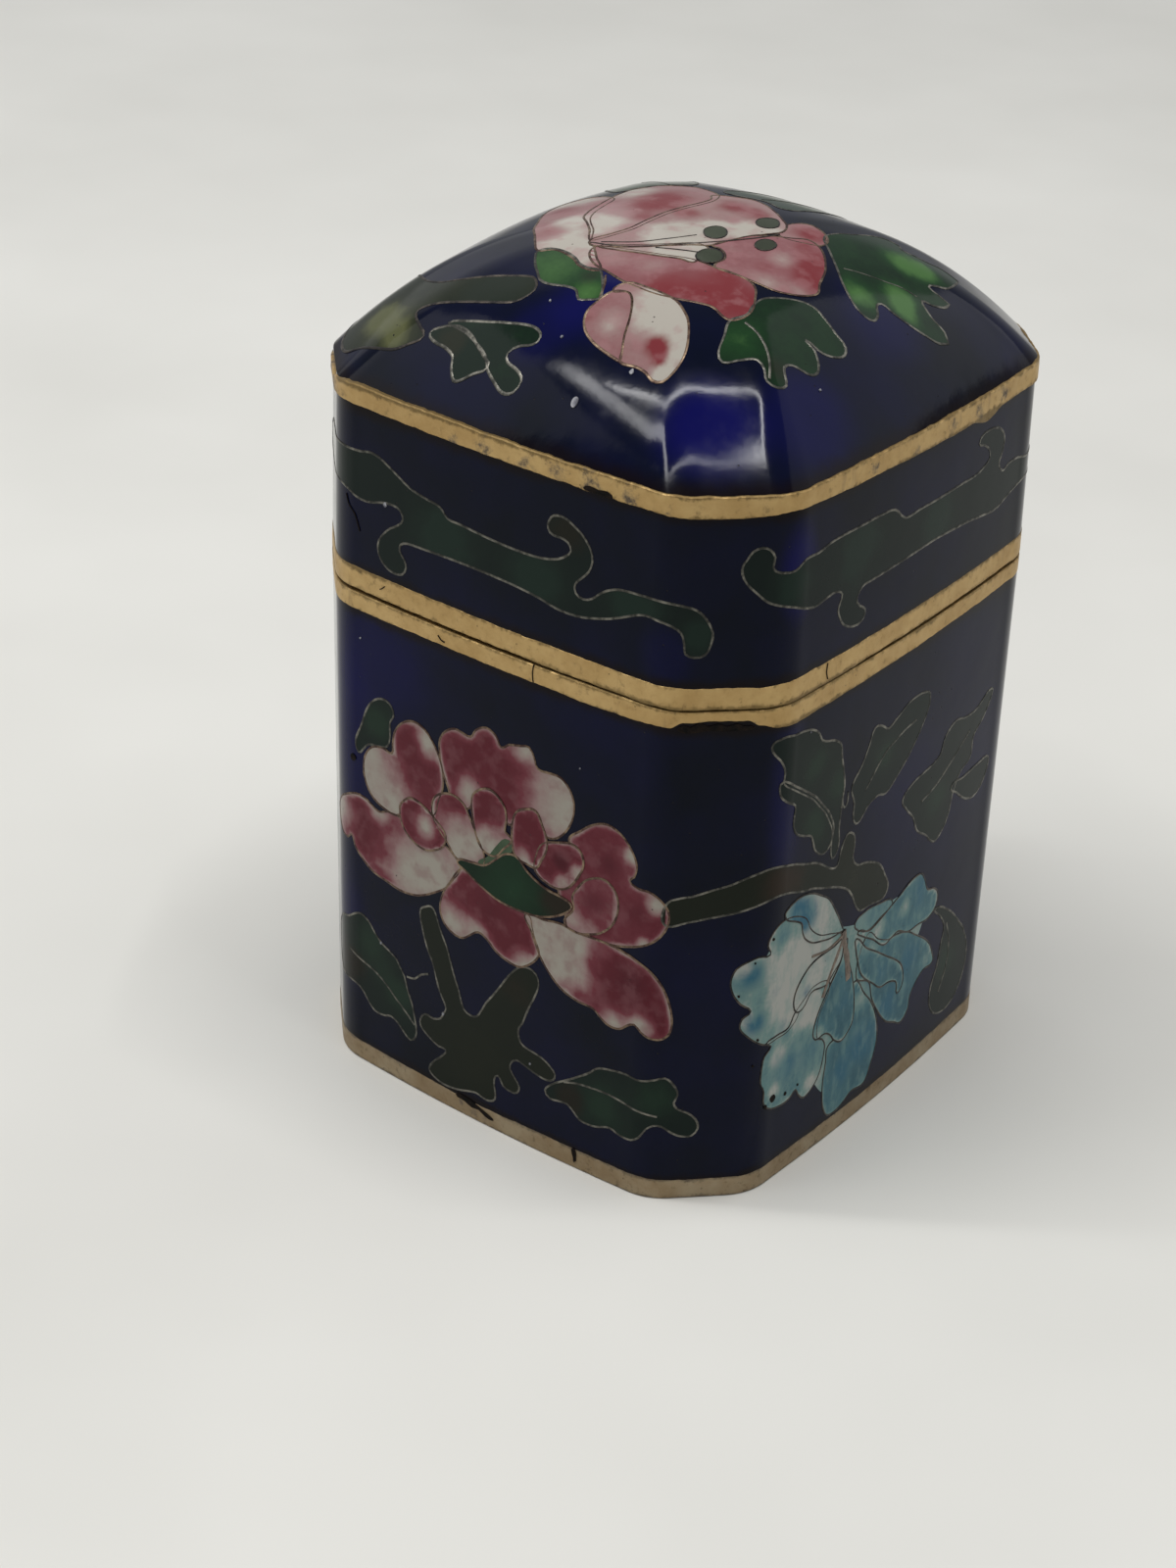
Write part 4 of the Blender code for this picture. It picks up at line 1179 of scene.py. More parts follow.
scrollCells = [
    {"layer": 1, "base": 0.3, "pale": [(-26.0, 54.0, 3.0), (-8.0, 53.8, 2.4), (-17.0, 53.5, 2.6),
                                       (-2.4, 52.4, 1.4)], "tone": [(-14.0, 58.0, 1.8)],
     "line": [(-44.0, 57.6), (-41.0, 58.2), (-39.0, 58.2), (-36.2, 58.3), (-34.8, 58.4), (-34.0, 58.6),
              (-33.0, 58.5), (-32.0, 58.1), (-31.0, 57.6), (-30.0, 57.1), (-29.2, 56.8), (-27.8, 56.55),
              (-26.4, 56.3), (-25.6, 55.6), (-24.3, 55.5), (-22.2, 55.3), (-20.1, 55.15), (-17.7, 55.1),
              (-16.3, 55.2), (-15.0, 55.5), (-14.1, 56.0), (-13.6, 56.6), (-13.9, 57.2), (-14.6, 57.4),
              (-15.3, 57.4), (-15.8, 57.8), (-15.7, 58.5), (-15.3, 59.0), (-14.3, 59.1), (-13.4, 58.7),
              (-12.5, 58.1), (-11.8, 57.2), (-11.6, 56.4), (-11.9, 55.4), (-12.6, 54.6), (-13.1, 54.0),
              (-13.0, 53.3), (-12.3, 53.0), (-11.5, 53.3), (-10.7, 54.0), (-9.9, 54.5), (-8.9, 54.8),
              (-7.0, 54.9), (-5.0, 54.9), (-3.7, 54.8), (-2.6, 54.5), (-1.8, 53.7), (-1.3, 52.6),
              (-1.4, 51.6), (-1.8, 50.8), (-2.6, 50.6), (-3.3, 50.9), (-3.4, 51.6), (-3.7, 52.6),
              (-4.6, 53.1), (-5.7, 53.3), (-6.6, 53.4), (-7.4, 53.2), (-8.3, 52.8), (-9.7, 52.2),
              (-11.0, 51.8), (-12.3, 51.5), (-13.7, 51.4), (-15.0, 51.5), (-16.3, 51.8), (-17.7, 52.0),
              (-20.1, 52.2), (-24.3, 52.3), (-28.5, 52.2), (-29.9, 52.1), (-30.5, 51.8), (-30.6, 51.2),
              (-30.1, 50.6), (-29.9, 50.0), (-30.3, 49.3), (-31.2, 49.1), (-32.0, 49.3), (-32.7, 49.9),
              (-33.0, 50.6), (-32.9, 51.4), (-32.4, 52.1), (-31.7, 52.8), (-30.9, 53.3), (-30.3, 54.0),
              (-30.6, 54.7), (-31.3, 54.9), (-32.4, 54.8), (-33.4, 54.5), (-34.4, 54.3), (-35.5, 54.4),
              (-36.5, 54.8), (-39.0, 55.1), (-42.0, 55.0), (-44.5, 55.8)]},
    {"layer": 1, "base": 0.2, "pale": [(13.0, 56.0, 3.0), (24.0, 55.0, 2.6), (5.0, 56.0, 2.0)],
     "line": [(0.7, 58.0), (1.0, 58.5), (1.4, 59.1), (2.1, 59.4), (2.7, 59.2), (3.1, 58.6), (3.0, 57.8),
              (3.3, 57.4), (4.1, 57.2), (5.0, 57.2), (6.2, 57.8), (7.7, 57.8), (9.1, 58.1), (10.7, 58.2),
              (13.7, 58.2), (15.7, 58.2), (17.5, 58.0), (19.1, 56.8), (21.4, 56.8), (23.7, 56.75),
              (26.7, 56.8), (29.8, 56.8), (31.0, 57.1), (31.8, 57.6), (31.5, 58.4), (30.7, 59.0),
              (29.8, 59.4), (30.3, 60.0), (31.3, 60.1), (32.6, 59.9), (33.5, 59.4), (34.1, 58.5),
              (33.9, 57.4), (33.5, 56.4), (34.3, 55.6), (35.2, 55.9), (36.7, 55.9), (38.5, 55.5),
              (41.0, 55.6), (43.0, 54.8), (41.0, 53.8), (38.3, 53.6), (35.9, 53.1), (33.6, 52.5),
              (31.3, 52.7), (29.0, 53.0), (26.0, 53.2), (23.7, 53.3), (20.6, 53.2), (17.5, 53.1),
              (15.0, 53.0), (13.7, 52.9), (13.0, 52.1), (13.4, 51.4), (14.2, 50.8), (14.1, 50.1),
              (13.3, 49.8), (12.3, 50.0), (11.4, 50.5), (10.9, 51.2), (10.6, 52.1), (11.0, 53.2),
              (10.1, 53.7), (9.0, 53.6), (7.7, 53.4), (6.6, 53.6), (5.0, 54.2), (3.7, 54.6), (2.7, 55.0),
              (1.9, 55.7), (1.1, 56.5), (0.7, 57.3)]},
]

# the dome's flower, leaves and stem, as (x, y) seen from above

crownCells = [
    {"layer": 1, "base": 0.5, "pale": [(-4.6, -10.0, 2.6), (-12.0, 0.5, 2.0, 0.6), (-7.6, -5.6, 1.6, 0.7)],
     "tone": [(-8.4, -7.6, 1.6, 0.55), (-11.0, -3.0, 1.8, 0.6)],
     "line": [(-4.0, -7.9), (-3.3, -8.6), (-2.4, -9.5), (-1.6, -10.3), (-0.7, -11.0), (-0.5, -11.5),
              (-1.6, -11.7), (-2.5, -11.5), (-3.3, -11.0), (-4.7, -10.5), (-5.8, -10.4), (-6.9, -10.9),
              (-8.0, -9.9), (-9.0, -8.7), (-10.0, -7.6), (-11.2, -5.5), (-12.3, -3.5), (-13.0, -1.5),
              (-12.8, 0.2), (-11.6, 1.4), (-10.3, 1.6), (-8.6, 1.0), (-8.0, -1.0), (-7.6, -2.8), (-7.0, -4.2),
              (-6.2, -5.2), (-5.0, -6.4)]},
    {"layer": 1, "base": 0.22, "pale": [(-1.2, -9.4, 1.6, 0.4), (3.0, -9.0, 1.6, 0.25)],
     "tone": [(8.5, -9.3, 3.4), (10.8, -8.8, 2.0), (4.6, -10.6, 1.8, 0.6)],
     "line": [(-2.9, -8.7), (-1.3, -8.2), (0.7, -7.7), (2.5, -7.2), (3.9, -6.7), (5.3, -6.4), (7.3, -6.4),
              (9.3, -6.0), (10.4, -6.3), (11.3, -7.5), (12.0, -8.9), (12.0, -10.1), (11.5, -10.9),
              (10.9, -11.0), (9.7, -10.7), (8.7, -11.0), (7.3, -11.5), (5.3, -11.9), (3.3, -11.9),
              (2.0, -11.8), (0.4, -11.4), (-1.2, -11.0), (-2.3, -10.3), (-2.9, -9.5)]},
    {"layer": 2, "base": 0.45, "tone": [(1.9, -15.8, 0.9, 0.5)], "pale": [(4.0, -15.6, 1.0, 0.4)],
     "line": [(1.67, -14.3), (1.5, -15.4), (1.9, -16.3), (2.7, -17.0), (3.9, -17.5), (5.3, -17.8),
              (6.7, -18.0), (6.7, -18.0), (6.3, -17.3), (5.7, -16.3), (5.1, -14.9), (4.4, -13.7),
              (3.7, -12.9), (3.1, -12.7), (2.1, -13.1)]},
    {"layer": 2, "base": 0.55, "pale": [(6.6, -12.8, 2.2), (9.8, -14.6, 1.8), (10.4, -17.6, 0.8)],
     "tone": [(8.4, -16.0, 1.0), (9.4, -16.8, 0.6)],
     "line": [(6.7, -18.0), (8.1, -17.9), (9.1, -18.0), (9.9, -18.3), (10.7, -18.1), (11.0, -17.3),
              (11.0, -16.3), (10.7, -15.3), (10.0, -14.1), (9.1, -13.0), (8.1, -12.3), (7.1, -11.8),
              (5.7, -11.6), (4.1, -11.6), (2.7, -11.7), (2.1, -12.3), (2.1, -13.1), (3.1, -12.7),
              (3.7, -12.9), (4.4, -13.7), (5.1, -14.9), (5.7, -16.3), (6.3, -17.3)]},
    {"layer": 2, "base": 0.5, "pale": [(-5.8, -5.8, 2.2), (-8.6, 3.4, 1.8, 0.6)],
     "tone": [(-5.0, 0.6, 2.4, 0.75), (-5.2, 3.6, 2.2, 0.75), (-3.4, -2.0, 1.2, 0.5)],
     "line": [(-4.0, -8.1), (-5.3, -6.5), (-6.6, -5.2), (-7.6, -4.3), (-8.2, -2.8), (-8.6, -1.0), (-9.0, 1.0),
              (-9.3, 3.0), (-9.2, 4.9), (-8.3, 6.3), (-7.0, 7.2), (-5.5, 7.8), (-4.0, 7.6), (-2.4, 6.8),
              (-1.7, 5.3), (-1.7, 4.0), (-2.1, 2.0), (-2.4, 0.0), (-2.4, -2.7), (-2.4, -4.7), (-2.9, -6.4),
              (-3.5, -7.7)]},
    {"layer": 2, "base": 0.34,
     "pale": [(10.6, -5.0, 1.2, 0.4), (9.2, -1.2, 1.0, 0.4), (12.6, -3.6, 0.8, 0.3)],
     "tone": [(11.2, 1.0, 1.8), (12.2, -1.6, 1.5), (9.2, -3.4, 1.0, 0.5), (8.8, 2.6, 1.2, 0.6)],
     "line": [(4.3, -3.5), (4.8, -1.3), (5.2, 0.1), (6.4, 1.6), (7.6, 2.7), (8.4, 3.6), (9.3, 3.6),
              (10.4, 2.9), (11.3, 1.9), (12.0, 0.9), (12.4, 0.1), (12.9, -1.2), (13.5, -2.3), (13.3, -3.3),
              (12.7, -4.3), (11.6, -5.3), (10.4, -5.7), (9.1, -6.0), (7.7, -6.2), (6.7, -6.4), (6.4, -5.7),
              (6.5, -4.9), (5.9, -4.0), (5.0, -3.5)]},
    {"layer": 2, "base": 0.75, "pale": [(3.6, -5.6, 2.0)],
     "line": [(-2.7, -8.5), (-0.9, -7.4), (0.5, -6.4), (1.8, -5.2), (3.1, -4.0), (4.3, -4.0), (4.9, -5.0),
              (4.9, -6.0), (5.0, -6.9), (3.9, -7.0), (2.5, -7.5), (0.7, -8.0), (-1.3, -8.5)]},
    {"layer": 1, "base": 0.5, "tone": [(8.0, 4.8, 1.6)],
     "line": [(6.0, 3.4), (5.7, 5.0), (6.5, 6.5), (8.0, 6.3), (9.3, 5.2), (9.6, 3.8), (8.6, 2.8), (7.4, 2.2),
              (6.4, 2.4)]},
    {"layer": 3, "base": 0.62, "pale": [(1.0, -3.6, 2.2), (5.2, 1.4, 1.6), (2.4, -0.6, 1.6)],
     "tone": [(0.6, 4.8, 2.0, 0.8), (-1.5, 1.0, 1.6, 0.6), (3.2, 4.4, 1.2, 0.5)],
     "line": [(-3.5, -8.7), (-2.7, -8.6), (-0.7, -7.7), (0.7, -6.7), (2.0, -5.5), (3.3, -4.3), (4.2, -3.6),
              (4.8, -1.3), (5.2, 0.1), (5.9, 1.6), (6.4, 3.0), (5.9, 4.4), (4.9, 5.3), (3.5, 6.4), (2.0, 7.4),
              (0.4, 8.0), (-1.0, 7.6), (-2.7, 6.4), (-2.1, 5.3), (-2.1, 4.0), (-2.5, 2.0), (-2.8, 0.0),
              (-2.8, -2.7), (-2.8, -4.7), (-3.3, -6.4), (-4.0, -8.0)]},
]
crownInnerWires = [
    {"layer": 1, "line": [(0.4, -11.8), (1.0, -12.7), (1.5, -13.8), (1.7, -14.3)]},
]
pistilCells = [
    {"layer": 5, "base": 0.35, "line": [(4.0, -1.4), (3.8, -2.2), (3.1, -2.4), (2.3, -1.8), (1.9, -1.0),
                                        (2.2, -0.0), (2.9, 0.1), (3.6, -0.5)]},
    {"layer": 5, "base": 0.15, "line": [(6.1, -4.5), (6.4, -5.4), (6.0, -6.2), (5.3, -6.4), (4.6, -6.0),
                                        (4.3, -5.1), (4.6, -4.2), (5.4, -4.0)]},
    {"layer": 5, "base": 0.15, "line": [(5.1, 4.5), (5.6, 3.5), (5.3, 2.7), (4.6, 2.5), (3.9, 3.0),
                                        (3.6, 3.9), (3.9, 4.6), (4.5, 4.9)]},
    {"layer": 5, "base": 0.1, "line": [(7.7, 0.4), (7.9, -0.4), (7.7, -1.2), (7.2, -1.4), (6.6, -1.0),
                                       (6.3, -0.1), (6.5, 0.6), (7.1, 0.8)]},
]
pistilWires = [
    {"layer": 4, "line": [(-3.7, -8.4), (-1.3, -7.9), (0.6, -6.7), (2.1, -5.2), (3.4, -3.7), (4.8, -1.7),
                          (6.0, 0.6), (6.6, 2.4)], "width": 0.14},
    {"layer": 4, "line": [(-3.0, -8.0), (-0.6, -6.6), (1.0, -4.6), (2.2, -2.6)], "width": 0.1},
    {"layer": 4, "line": [(1.2, -6.6), (3.0, -5.8), (4.5, -5.2)], "width": 0.1},
]
crownLeaves = [
    {"layer": 1, "base": 0.45, "pale": [(-4.4, -12.4, 2.0, 0.3), (0.4, -14.0, 1.2, 0.5)],
     "tone": [(-0.6, -12.2, 1.0, 0.6)],
     "line": [(-6.9, -10.9), (-6.2, -10.3), (-4.7, -10.3), (-3.3, -10.8), (-2.5, -11.3), (-1.6, -11.5),
              (-0.5, -11.4), (0.3, -12.1), (0.9, -12.8), (1.5, -13.7), (1.6, -14.1), (0.8, -14.5),
              (0.1, -14.7), (-0.7, -14.0), (-1.6, -13.9), (-3.3, -14.1), (-4.3, -13.9), (-5.0, -13.3),
              (-5.8, -12.6), (-6.6, -11.6)]},
    {"layer": 1, "base": 0.0,
     "line": [(-9.3, -18.8), (-7.6, -18.4), (-6.2, -18.2), (-4.1, -17.9), (-2.0, -17.7), (-0.9, -18.0),
              (-0.7, -18.6), (-1.3, -19.0), (-2.0, -19.2), (-2.6, -19.8), (-2.2, -20.3), (-1.0, -20.6),
              (-0.2, -21.1), (-0.4, -21.8), (-1.3, -22.0), (-2.4, -21.6), (-3.6, -21.0), (-4.4, -20.3),
              (-5.8, -19.7), (-7.3, -19.2), (-8.5, -19.0)]},
    {"layer": 2, "base": -0.1, "tone": [(-8.0, -19.8, 1.4)],
     "line": [(-10.4, -19.7), (-9.9, -19.3), (-9.1, -19.0), (-8.1, -18.9), (-6.8, -19.2), (-5.4, -19.9),
              (-4.4, -20.4), (-3.6, -20.9), (-4.6, -21.5), (-5.4, -22.0), (-6.0, -22.1), (-6.8, -21.4),
              (-7.2, -20.8), (-8.3, -20.4), (-9.5, -20.2)]},
    {"layer": 1, "base": 0.18, "pale": [(13.0, -12.0, 1.6, 0.45)], "tone": [(16.4, -11.6, 1.2, 0.6)],
     "line": [(11.7, -6.8), (13.0, -4.8), (14.2, -3.9), (15.5, -4.0), (16.6, -4.2), (17.6, -4.3),
              (18.0, -5.3), (17.2, -6.8), (15.9, -7.25), (16.8, -7.3), (17.9, -8.3), (17.9, -9.3),
              (16.8, -10.2), (16.6, -11.0), (17.6, -12.1), (17.4, -12.9), (16.6, -13.2), (15.9, -12.6),
              (15.1, -12.4), (14.2, -13.4), (13.4, -14.4), (12.7, -14.0), (12.1, -12.5), (11.5, -11.0),
              (12.0, -9.5), (11.7, -8.3)]},
    {"layer": 1, "base": 0.2, "pale": [(14.9, 1.4, 1.3), (16.2, 5.2, 1.3), (17.4, 4.6, 1.0), (13.6, 9.6, 1.5),
                                       (14.8, 11.0, 1.2)],
     "line": [(8.8, 5.4), (10.4, 3.8), (11.4, 2.9), (12.3, 2.1), (13.7, 0.9), (15.5, -0.1), (16.5, -0.1),
              (17.0, 0.4), (16.8, 1.3), (16.2, 2.0), (16.2, 2.7), (17.1, 3.1), (18.1, 3.8), (19.0, 4.7),
              (19.8, 5.8), (20.0, 6.9), (20.0, 6.9), (19.3, 7.3), (18.4, 7.0), (17.5, 7.1), (17.0, 7.4),
              (17.5, 8.2), (17.9, 9.4), (17.8, 10.3), (17.8, 10.3), (17.0, 9.9), (16.2, 9.6), (16.2, 10.3),
              (16.7, 11.7), (16.4, 13.4), (15.8, 14.8), (15.8, 14.8), (14.9, 14.6), (14.3, 14.2),
              (13.8, 13.2), (13.0, 12.5), (12.2, 11.8), (11.4, 12.4), (10.4, 12.0), (9.8, 10.6), (9.4, 8.8),
              (8.8, 7.2)]},
    {"layer": 1, "base": 0.25,
     "line": [(-10.0, 3.6), (-11.8, 4.4), (-13.6, 6.6), (-14.4, 9.4), (-13.0, 11.8), (-10.2, 12.6),
              (-8.0, 11.4), (-6.4, 9.0), (-7.6, 7.6)]},
    {"layer": 1, "base": 0.2,
     "line": [(-3.0, 8.4), (-2.4, 11.2), (-0.6, 14.0), (2.2, 16.2), (4.2, 16.4), (4.6, 13.4), (4.2, 10.6),
              (3.2, 8.2), (0.8, 8.8)]},
]
crownLeafWires = [
    {"layer": 1, "line": [(12.4, -10.3), (13.6, -10.4), (14.9, -11.0), (15.9, -11.9), (16.6, -12.9)]},
    {"layer": 1, "line": [(12.5, 2.7), (13.6, 4.0), (14.7, 5.2), (15.6, 6.4), (16.6, 7.2)], "width": 0.12},
    {"layer": 1, "line": [(-8.0, 7.6), (-10.2, 9.0), (-12.2, 9.6)]},
    {"layer": 1, "line": [(0.2, 9.2), (1.6, 12.0), (3.2, 15.0)]},
]
crownStem = [
    {"layer": 1, "base": 0.2, "pale": [(-13.2, -20.2, 1.3), (-15.4, -18.8, 1.6), (-17.4, -17.8, 1.4)],
     "tone": [(-7.0, -15.4, 3.0), (-20.5, -12.0, 3.0)],
     "line": [(-5.1, -13.8), (-7.0, -14.1), (-8.3, -14.4), (-9.7, -14.8), (-11.0, -15.1), (-13.0, -15.2),
              (-15.0, -14.6), (-17.0, -13.2), (-19.0, -11.2), (-21.3, -9.6), (-22.3, -10.4), (-22.2, -13.0),
              (-21.6, -15.4), (-21.0, -17.6), (-20.2, -19.0), (-18.6, -20.4), (-16.8, -20.8), (-14.8, -21.2),
              (-13.0, -21.2), (-11.6, -20.6), (-10.8, -20.0), (-11.5, -19.5), (-12.6, -18.8), (-12.9, -18.2),
              (-12.0, -17.7), (-9.9, -17.2), (-6.9, -16.7), (-5.0, -16.3), (-4.3, -15.7), (-4.0, -14.9),
              (-4.4, -14.2)]},
]

# plainer sprays on the two far sides

# as shares of a petal's length and of a leaf's: (across, out) and (along, across)
petalShape = [(0.0, 0.12), (0.35, 0.45), (0.42, 0.8), (0.2, 1.0), (0.0, 0.93), (-0.2, 1.0), (-0.42, 0.8),
              (-0.35, 0.45)]
leafSide = [(0.0, 0.0), (0.14, 0.16), (0.3, 0.27), (0.36, 0.23), (0.52, 0.3), (0.6, 0.25), (0.76, 0.22),
            (0.86, 0.12), (1.0, 0.0)]


# a point turned about (s, z): along its direction and across it
def turned(s, z, along, across, angle):
    return (s + along * math.cos(angle) - across * math.sin(angle),
            z + along * math.sin(angle) + across * math.cos(angle))


def starBlossom(s, z, radius, turn, layer=1):
    cells = []
    for k in range(5):
        angle = turn + k * math.tau / 5
        ring = [turned(s, z, out * radius, across * radius, angle) for across, out in petalShape]
        tip = turned(s, z, radius * 0.85, 0.0, angle)
        cells.append({"layer": layer + k % 2, "line": ring, "rim": 0.5, "pale": [(*tip, radius * 0.6)]})
    return cells


def toothedLeaf(s, z, length, turn, layer=1):
    outline = leafSide + [(along, -across) for along, across in reversed(leafSide[1:-1])]
    line = [turned(s, z, length * along, length * across, turn) for along, across in outline]
    vein = [turned(s, z, length * t, 0.0, turn + 0.06 * t) for t in (0.08, 0.35, 0.6, 0.85)]
    middle = turned(s, z, length * 0.5, 0.0, turn)
    cell = {"layer": layer, "line": line, "base": 0.1, "pale": [(*middle, length * 0.4)]}
    return cell, {"layer": layer, "line": vein}


sprays = {
    "blossoms": [(60.0, 31.0, 5.6, 0.3), (72.0, 22.0, 5.0, 0.9), (63.5, 14.0, 4.2, 0.1),
                 (-64.0, 27.0, 6.2, 0.5), (-55.5, 14.5, 4.6, 1.1)],
    "leaves": [(53.5, 24.0, 7.5, 2.6), (66.0, 38.0, 7.0, 0.9), (76.0, 30.5, 7.0, 0.6), (56.0, 8.5, 6.5, 3.6),
               (75.5, 12.5, 6.0, -0.5), (-72.0, 33.0, 7.5, 2.2), (-56.5, 33.5, 7.5, 0.8),
               (-50.5, 21.0, 5.5, 0.3), (-73.5, 17.5, 7.5, 3.4), (-62.0, 8.5, 7.0, 3.9)],
    "stems": [
        [(67.4, 2.5), (66.6, 6.0), (67.6, 10.0), (66.8, 16.0), (68.0, 20.0), (64.2, 27.0), (65.6, 33.0),
         (66.8, 37.6), (68.0, 37.2), (67.0, 32.6), (66.0, 28.0), (69.8, 20.4), (68.8, 15.6), (69.8, 10.0),
         (69.4, 6.0), (70.6, 2.5)],
        [(-62.6, 2.5), (-60.6, 6.4), (-61.4, 11.0), (-63.6, 16.0), (-66.4, 22.0), (-70.4, 28.0),
         (-71.4, 32.2), (-70.2, 32.6), (-68.8, 28.8), (-64.8, 22.6), (-61.8, 17.0), (-59.0, 15.6),
         (-58.8, 14.0), (-60.2, 12.6), (-58.4, 6.4), (-59.2, 2.5)],
    ],
    "scrolls": [(52.0, 0.0), (-80.0, 0.4)],
}
scrollUpper = [(0.0, 55.2), (0.6, 57.4), (2.2, 58.4), (3.6, 57.4), (5.0, 56.6), (8.0, 57.2), (11.0, 56.4),
               (14.0, 55.4), (17.0, 55.8), (19.0, 57.2), (20.6, 59.0), (22.6, 59.2), (23.4, 57.8),
               (23.0, 56.2), (25.0, 55.6), (27.6, 56.4), (29.2, 55.2)]
scrollLower = [(28.6, 53.4), (26.0, 53.2), (23.0, 53.0), (20.0, 53.2), (17.0, 52.6), (14.0, 52.6),
               (11.0, 53.4), (9.0, 52.6), (8.8, 50.8), (7.4, 50.2), (6.2, 51.2), (6.8, 53.0), (5.2, 54.2),
               (3.0, 54.0), (1.2, 54.0)]


def farScroll(s, dz):
    line = [(s + along, z + dz) for along, z in scrollUpper + scrollLower]
    return {"layer": 1, "base": 0.25, "line": line, "pale": [(s + 10, 55.0, 3.0), (s + 20, 55.0, 3.0)]}


# enamels of the picture, from strong to pale, with the tone and the blush that each also takes
peonyEnamel = shadedEnamel(
    "peonyEnamel",
    [(0.0, (0.100, 0.0150, 0.023)), (0.3, (0.150, 0.034, 0.046)),
     (0.62, (0.27, 0.17, 0.165)), (1.0, (0.33, 0.305, 0.26))],
    (0.066, 0.010, 0.016), blush=(0.19, 0.075, 0.085),
)
bloomEnamel = shadedEnamel(
    "bloomEnamel",
    [(0.0, (0.030, 0.095, 0.125)), (0.35, (0.06, 0.15, 0.175)),
     (0.7, (0.16, 0.25, 0.235)), (1.0, (0.36, 0.365, 0.335))],
    (0.030, 0.115, 0.17), feather=0.85, size=1.4, blush=(0.16, 0.27, 0.25), stretch=(1.0, 1.0, 0.45),
)
leafEnamel = shadedEnamel(
    "leafEnamel",
    [(0.0, (0.005, 0.011, 0.009)), (0.5, (0.007, 0.015, 0.011)), (1.0, (0.011, 0.026, 0.016))],
    (0.013, 0.012, 0.008),
)
stemEnamel = shadedEnamel(
    "stemEnamel",
    [(0.0, (0.008, 0.011, 0.007)), (0.6, (0.012, 0.015, 0.009)), (1.0, (0.024, 0.026, 0.015))],
    (0.024, 0.015, 0.009),
)
crownStemEnamel = shadedEnamel(
    "crownStemEnamel",
    [(0.0, (0.010, 0.014, 0.010)), (0.5, (0.024, 0.028, 0.015)), (1.0, (0.085, 0.090, 0.040))],
    (0.018, 0.024, 0.018),
)
pistilEnamel = shadedEnamel(
    "pistilEnamel",
    [(0.0, (0.026, 0.032, 0.020)), (0.6, (0.055, 0.066, 0.042)), (1.0, (0.10, 0.12, 0.08))],
    (0.022, 0.02, 0.013),
)
scrollEnamel = shadedEnamel(
    "scrollEnamel",
    [(0.0, (0.005, 0.010, 0.009)), (0.6, (0.007, 0.014, 0.011)), (1.0, (0.010, 0.022, 0.016))],
    (0.012, 0.012, 0.008),
)
crownEnamel = shadedEnamel(
    "crownEnamel",
    [(0.0, (0.150, 0.036, 0.040)), (0.35, (0.22, 0.095, 0.10)),
     (0.65, (0.27, 0.175, 0.165)), (1.0, (0.38, 0.35, 0.305))],
    (0.165, 0.029, 0.034), blush=(0.30, 0.15, 0.155),
)
crownLeafEnamel = shadedEnamel(
    "crownLeafEnamel",
    [(0.0, (0.006, 0.014, 0.009)), (0.5, (0.012, 0.040, 0.014)), (1.0, (0.055, 0.13, 0.038))],
    (0.014, 0.017, 0.010),
)
brightGreen = shadedEnamel(
    "brightGreen",
    [(0.0, (0.005, 0.016, 0.008)), (0.6, (0.010, 0.034, 0.016)), (1.0, (0.075, 0.11, 0.065))],
    (0.016, 0.013, 0.008),
)
rosyWire = cellWire("rosyWire", (0.24, 0.17, 0.11), (0.055, 0.028, 0.022))
greyWire = cellWire("greyWire", (0.20, 0.19, 0.16), (0.038, 0.038, 0.032))
darkWire = cellWire("darkWire", (0.085, 0.07, 0.055), (0.018, 0.016, 0.016))
umberWire = cellWire("umberWire", (0.20, 0.15, 0.11), (0.085, 0.06, 0.045), 0.2)
pits = pitted("pitDark", (0.002, 0.0015, 0.0015), (0.014, 0.008, 0.005))
chipPale = pitted("chipPale", (0.12, 0.12, 0.14), (0.40, 0.40, 0.42))


def drawSprays():
    flowers, leaves, veins = [], [], []
    for s, z, radius, turn in sprays["blossoms"]:
        flowers += starBlossom(s, z, radius, turn, 2)
    for s, z, length, turn in sprays["leaves"]:
        leaf, vein = toothedLeaf(s, z, length, turn, 1)
        leaves.append(leaf)
        veins.append(vein)
    stems = [{"layer": 1, "line": line, "base": 0.3} for line in sprays["stems"]]
    # a twig joins each leaf to the nearest stem
    stemPoints = [point for line in sprays["stems"] for point in line]
    for s, z, length, turn in sprays["leaves"]:
        near = min(stemPoints, key=lambda point: math.dist(point, (s, z)))
        bend = ((s + near[0]) / 2, (z + near[1]) / 2 - 0.8)
        veins.append({"layer": 0.6, "line": [(s, z), bend, near]})
    hearts = []
    for s, z, radius, turn in sprays["blossoms"]:
        ring = [turned(s, z, radius * 0.2, 0.0, k * math.tau / 8) for k in range(8)]
        hearts.append({"layer": 4, "line": ring, "base": 1.0})
    buildMotif("farHearts", hearts, onWall, crownStemEnamel, (), rosyWire, dice=0.8)
    buildMotif("farBlossoms", flowers, onWall, peonyEnamel, (), rosyWire, dice=0.8)
    buildMotif("farLeaves", leaves, onWall, leafEnamel, veins, greyWire, dice=0.9)
    buildMotif("farStems", stems, onWall, stemEnamel, (), greyWire, dice=0.9)
    scrolls = [farScroll(s, dz) for s, dz in sprays["scrolls"]]
    buildMotif("farScrolls", scrolls, onWall, scrollEnamel, (), greyWire, dice=0.9)


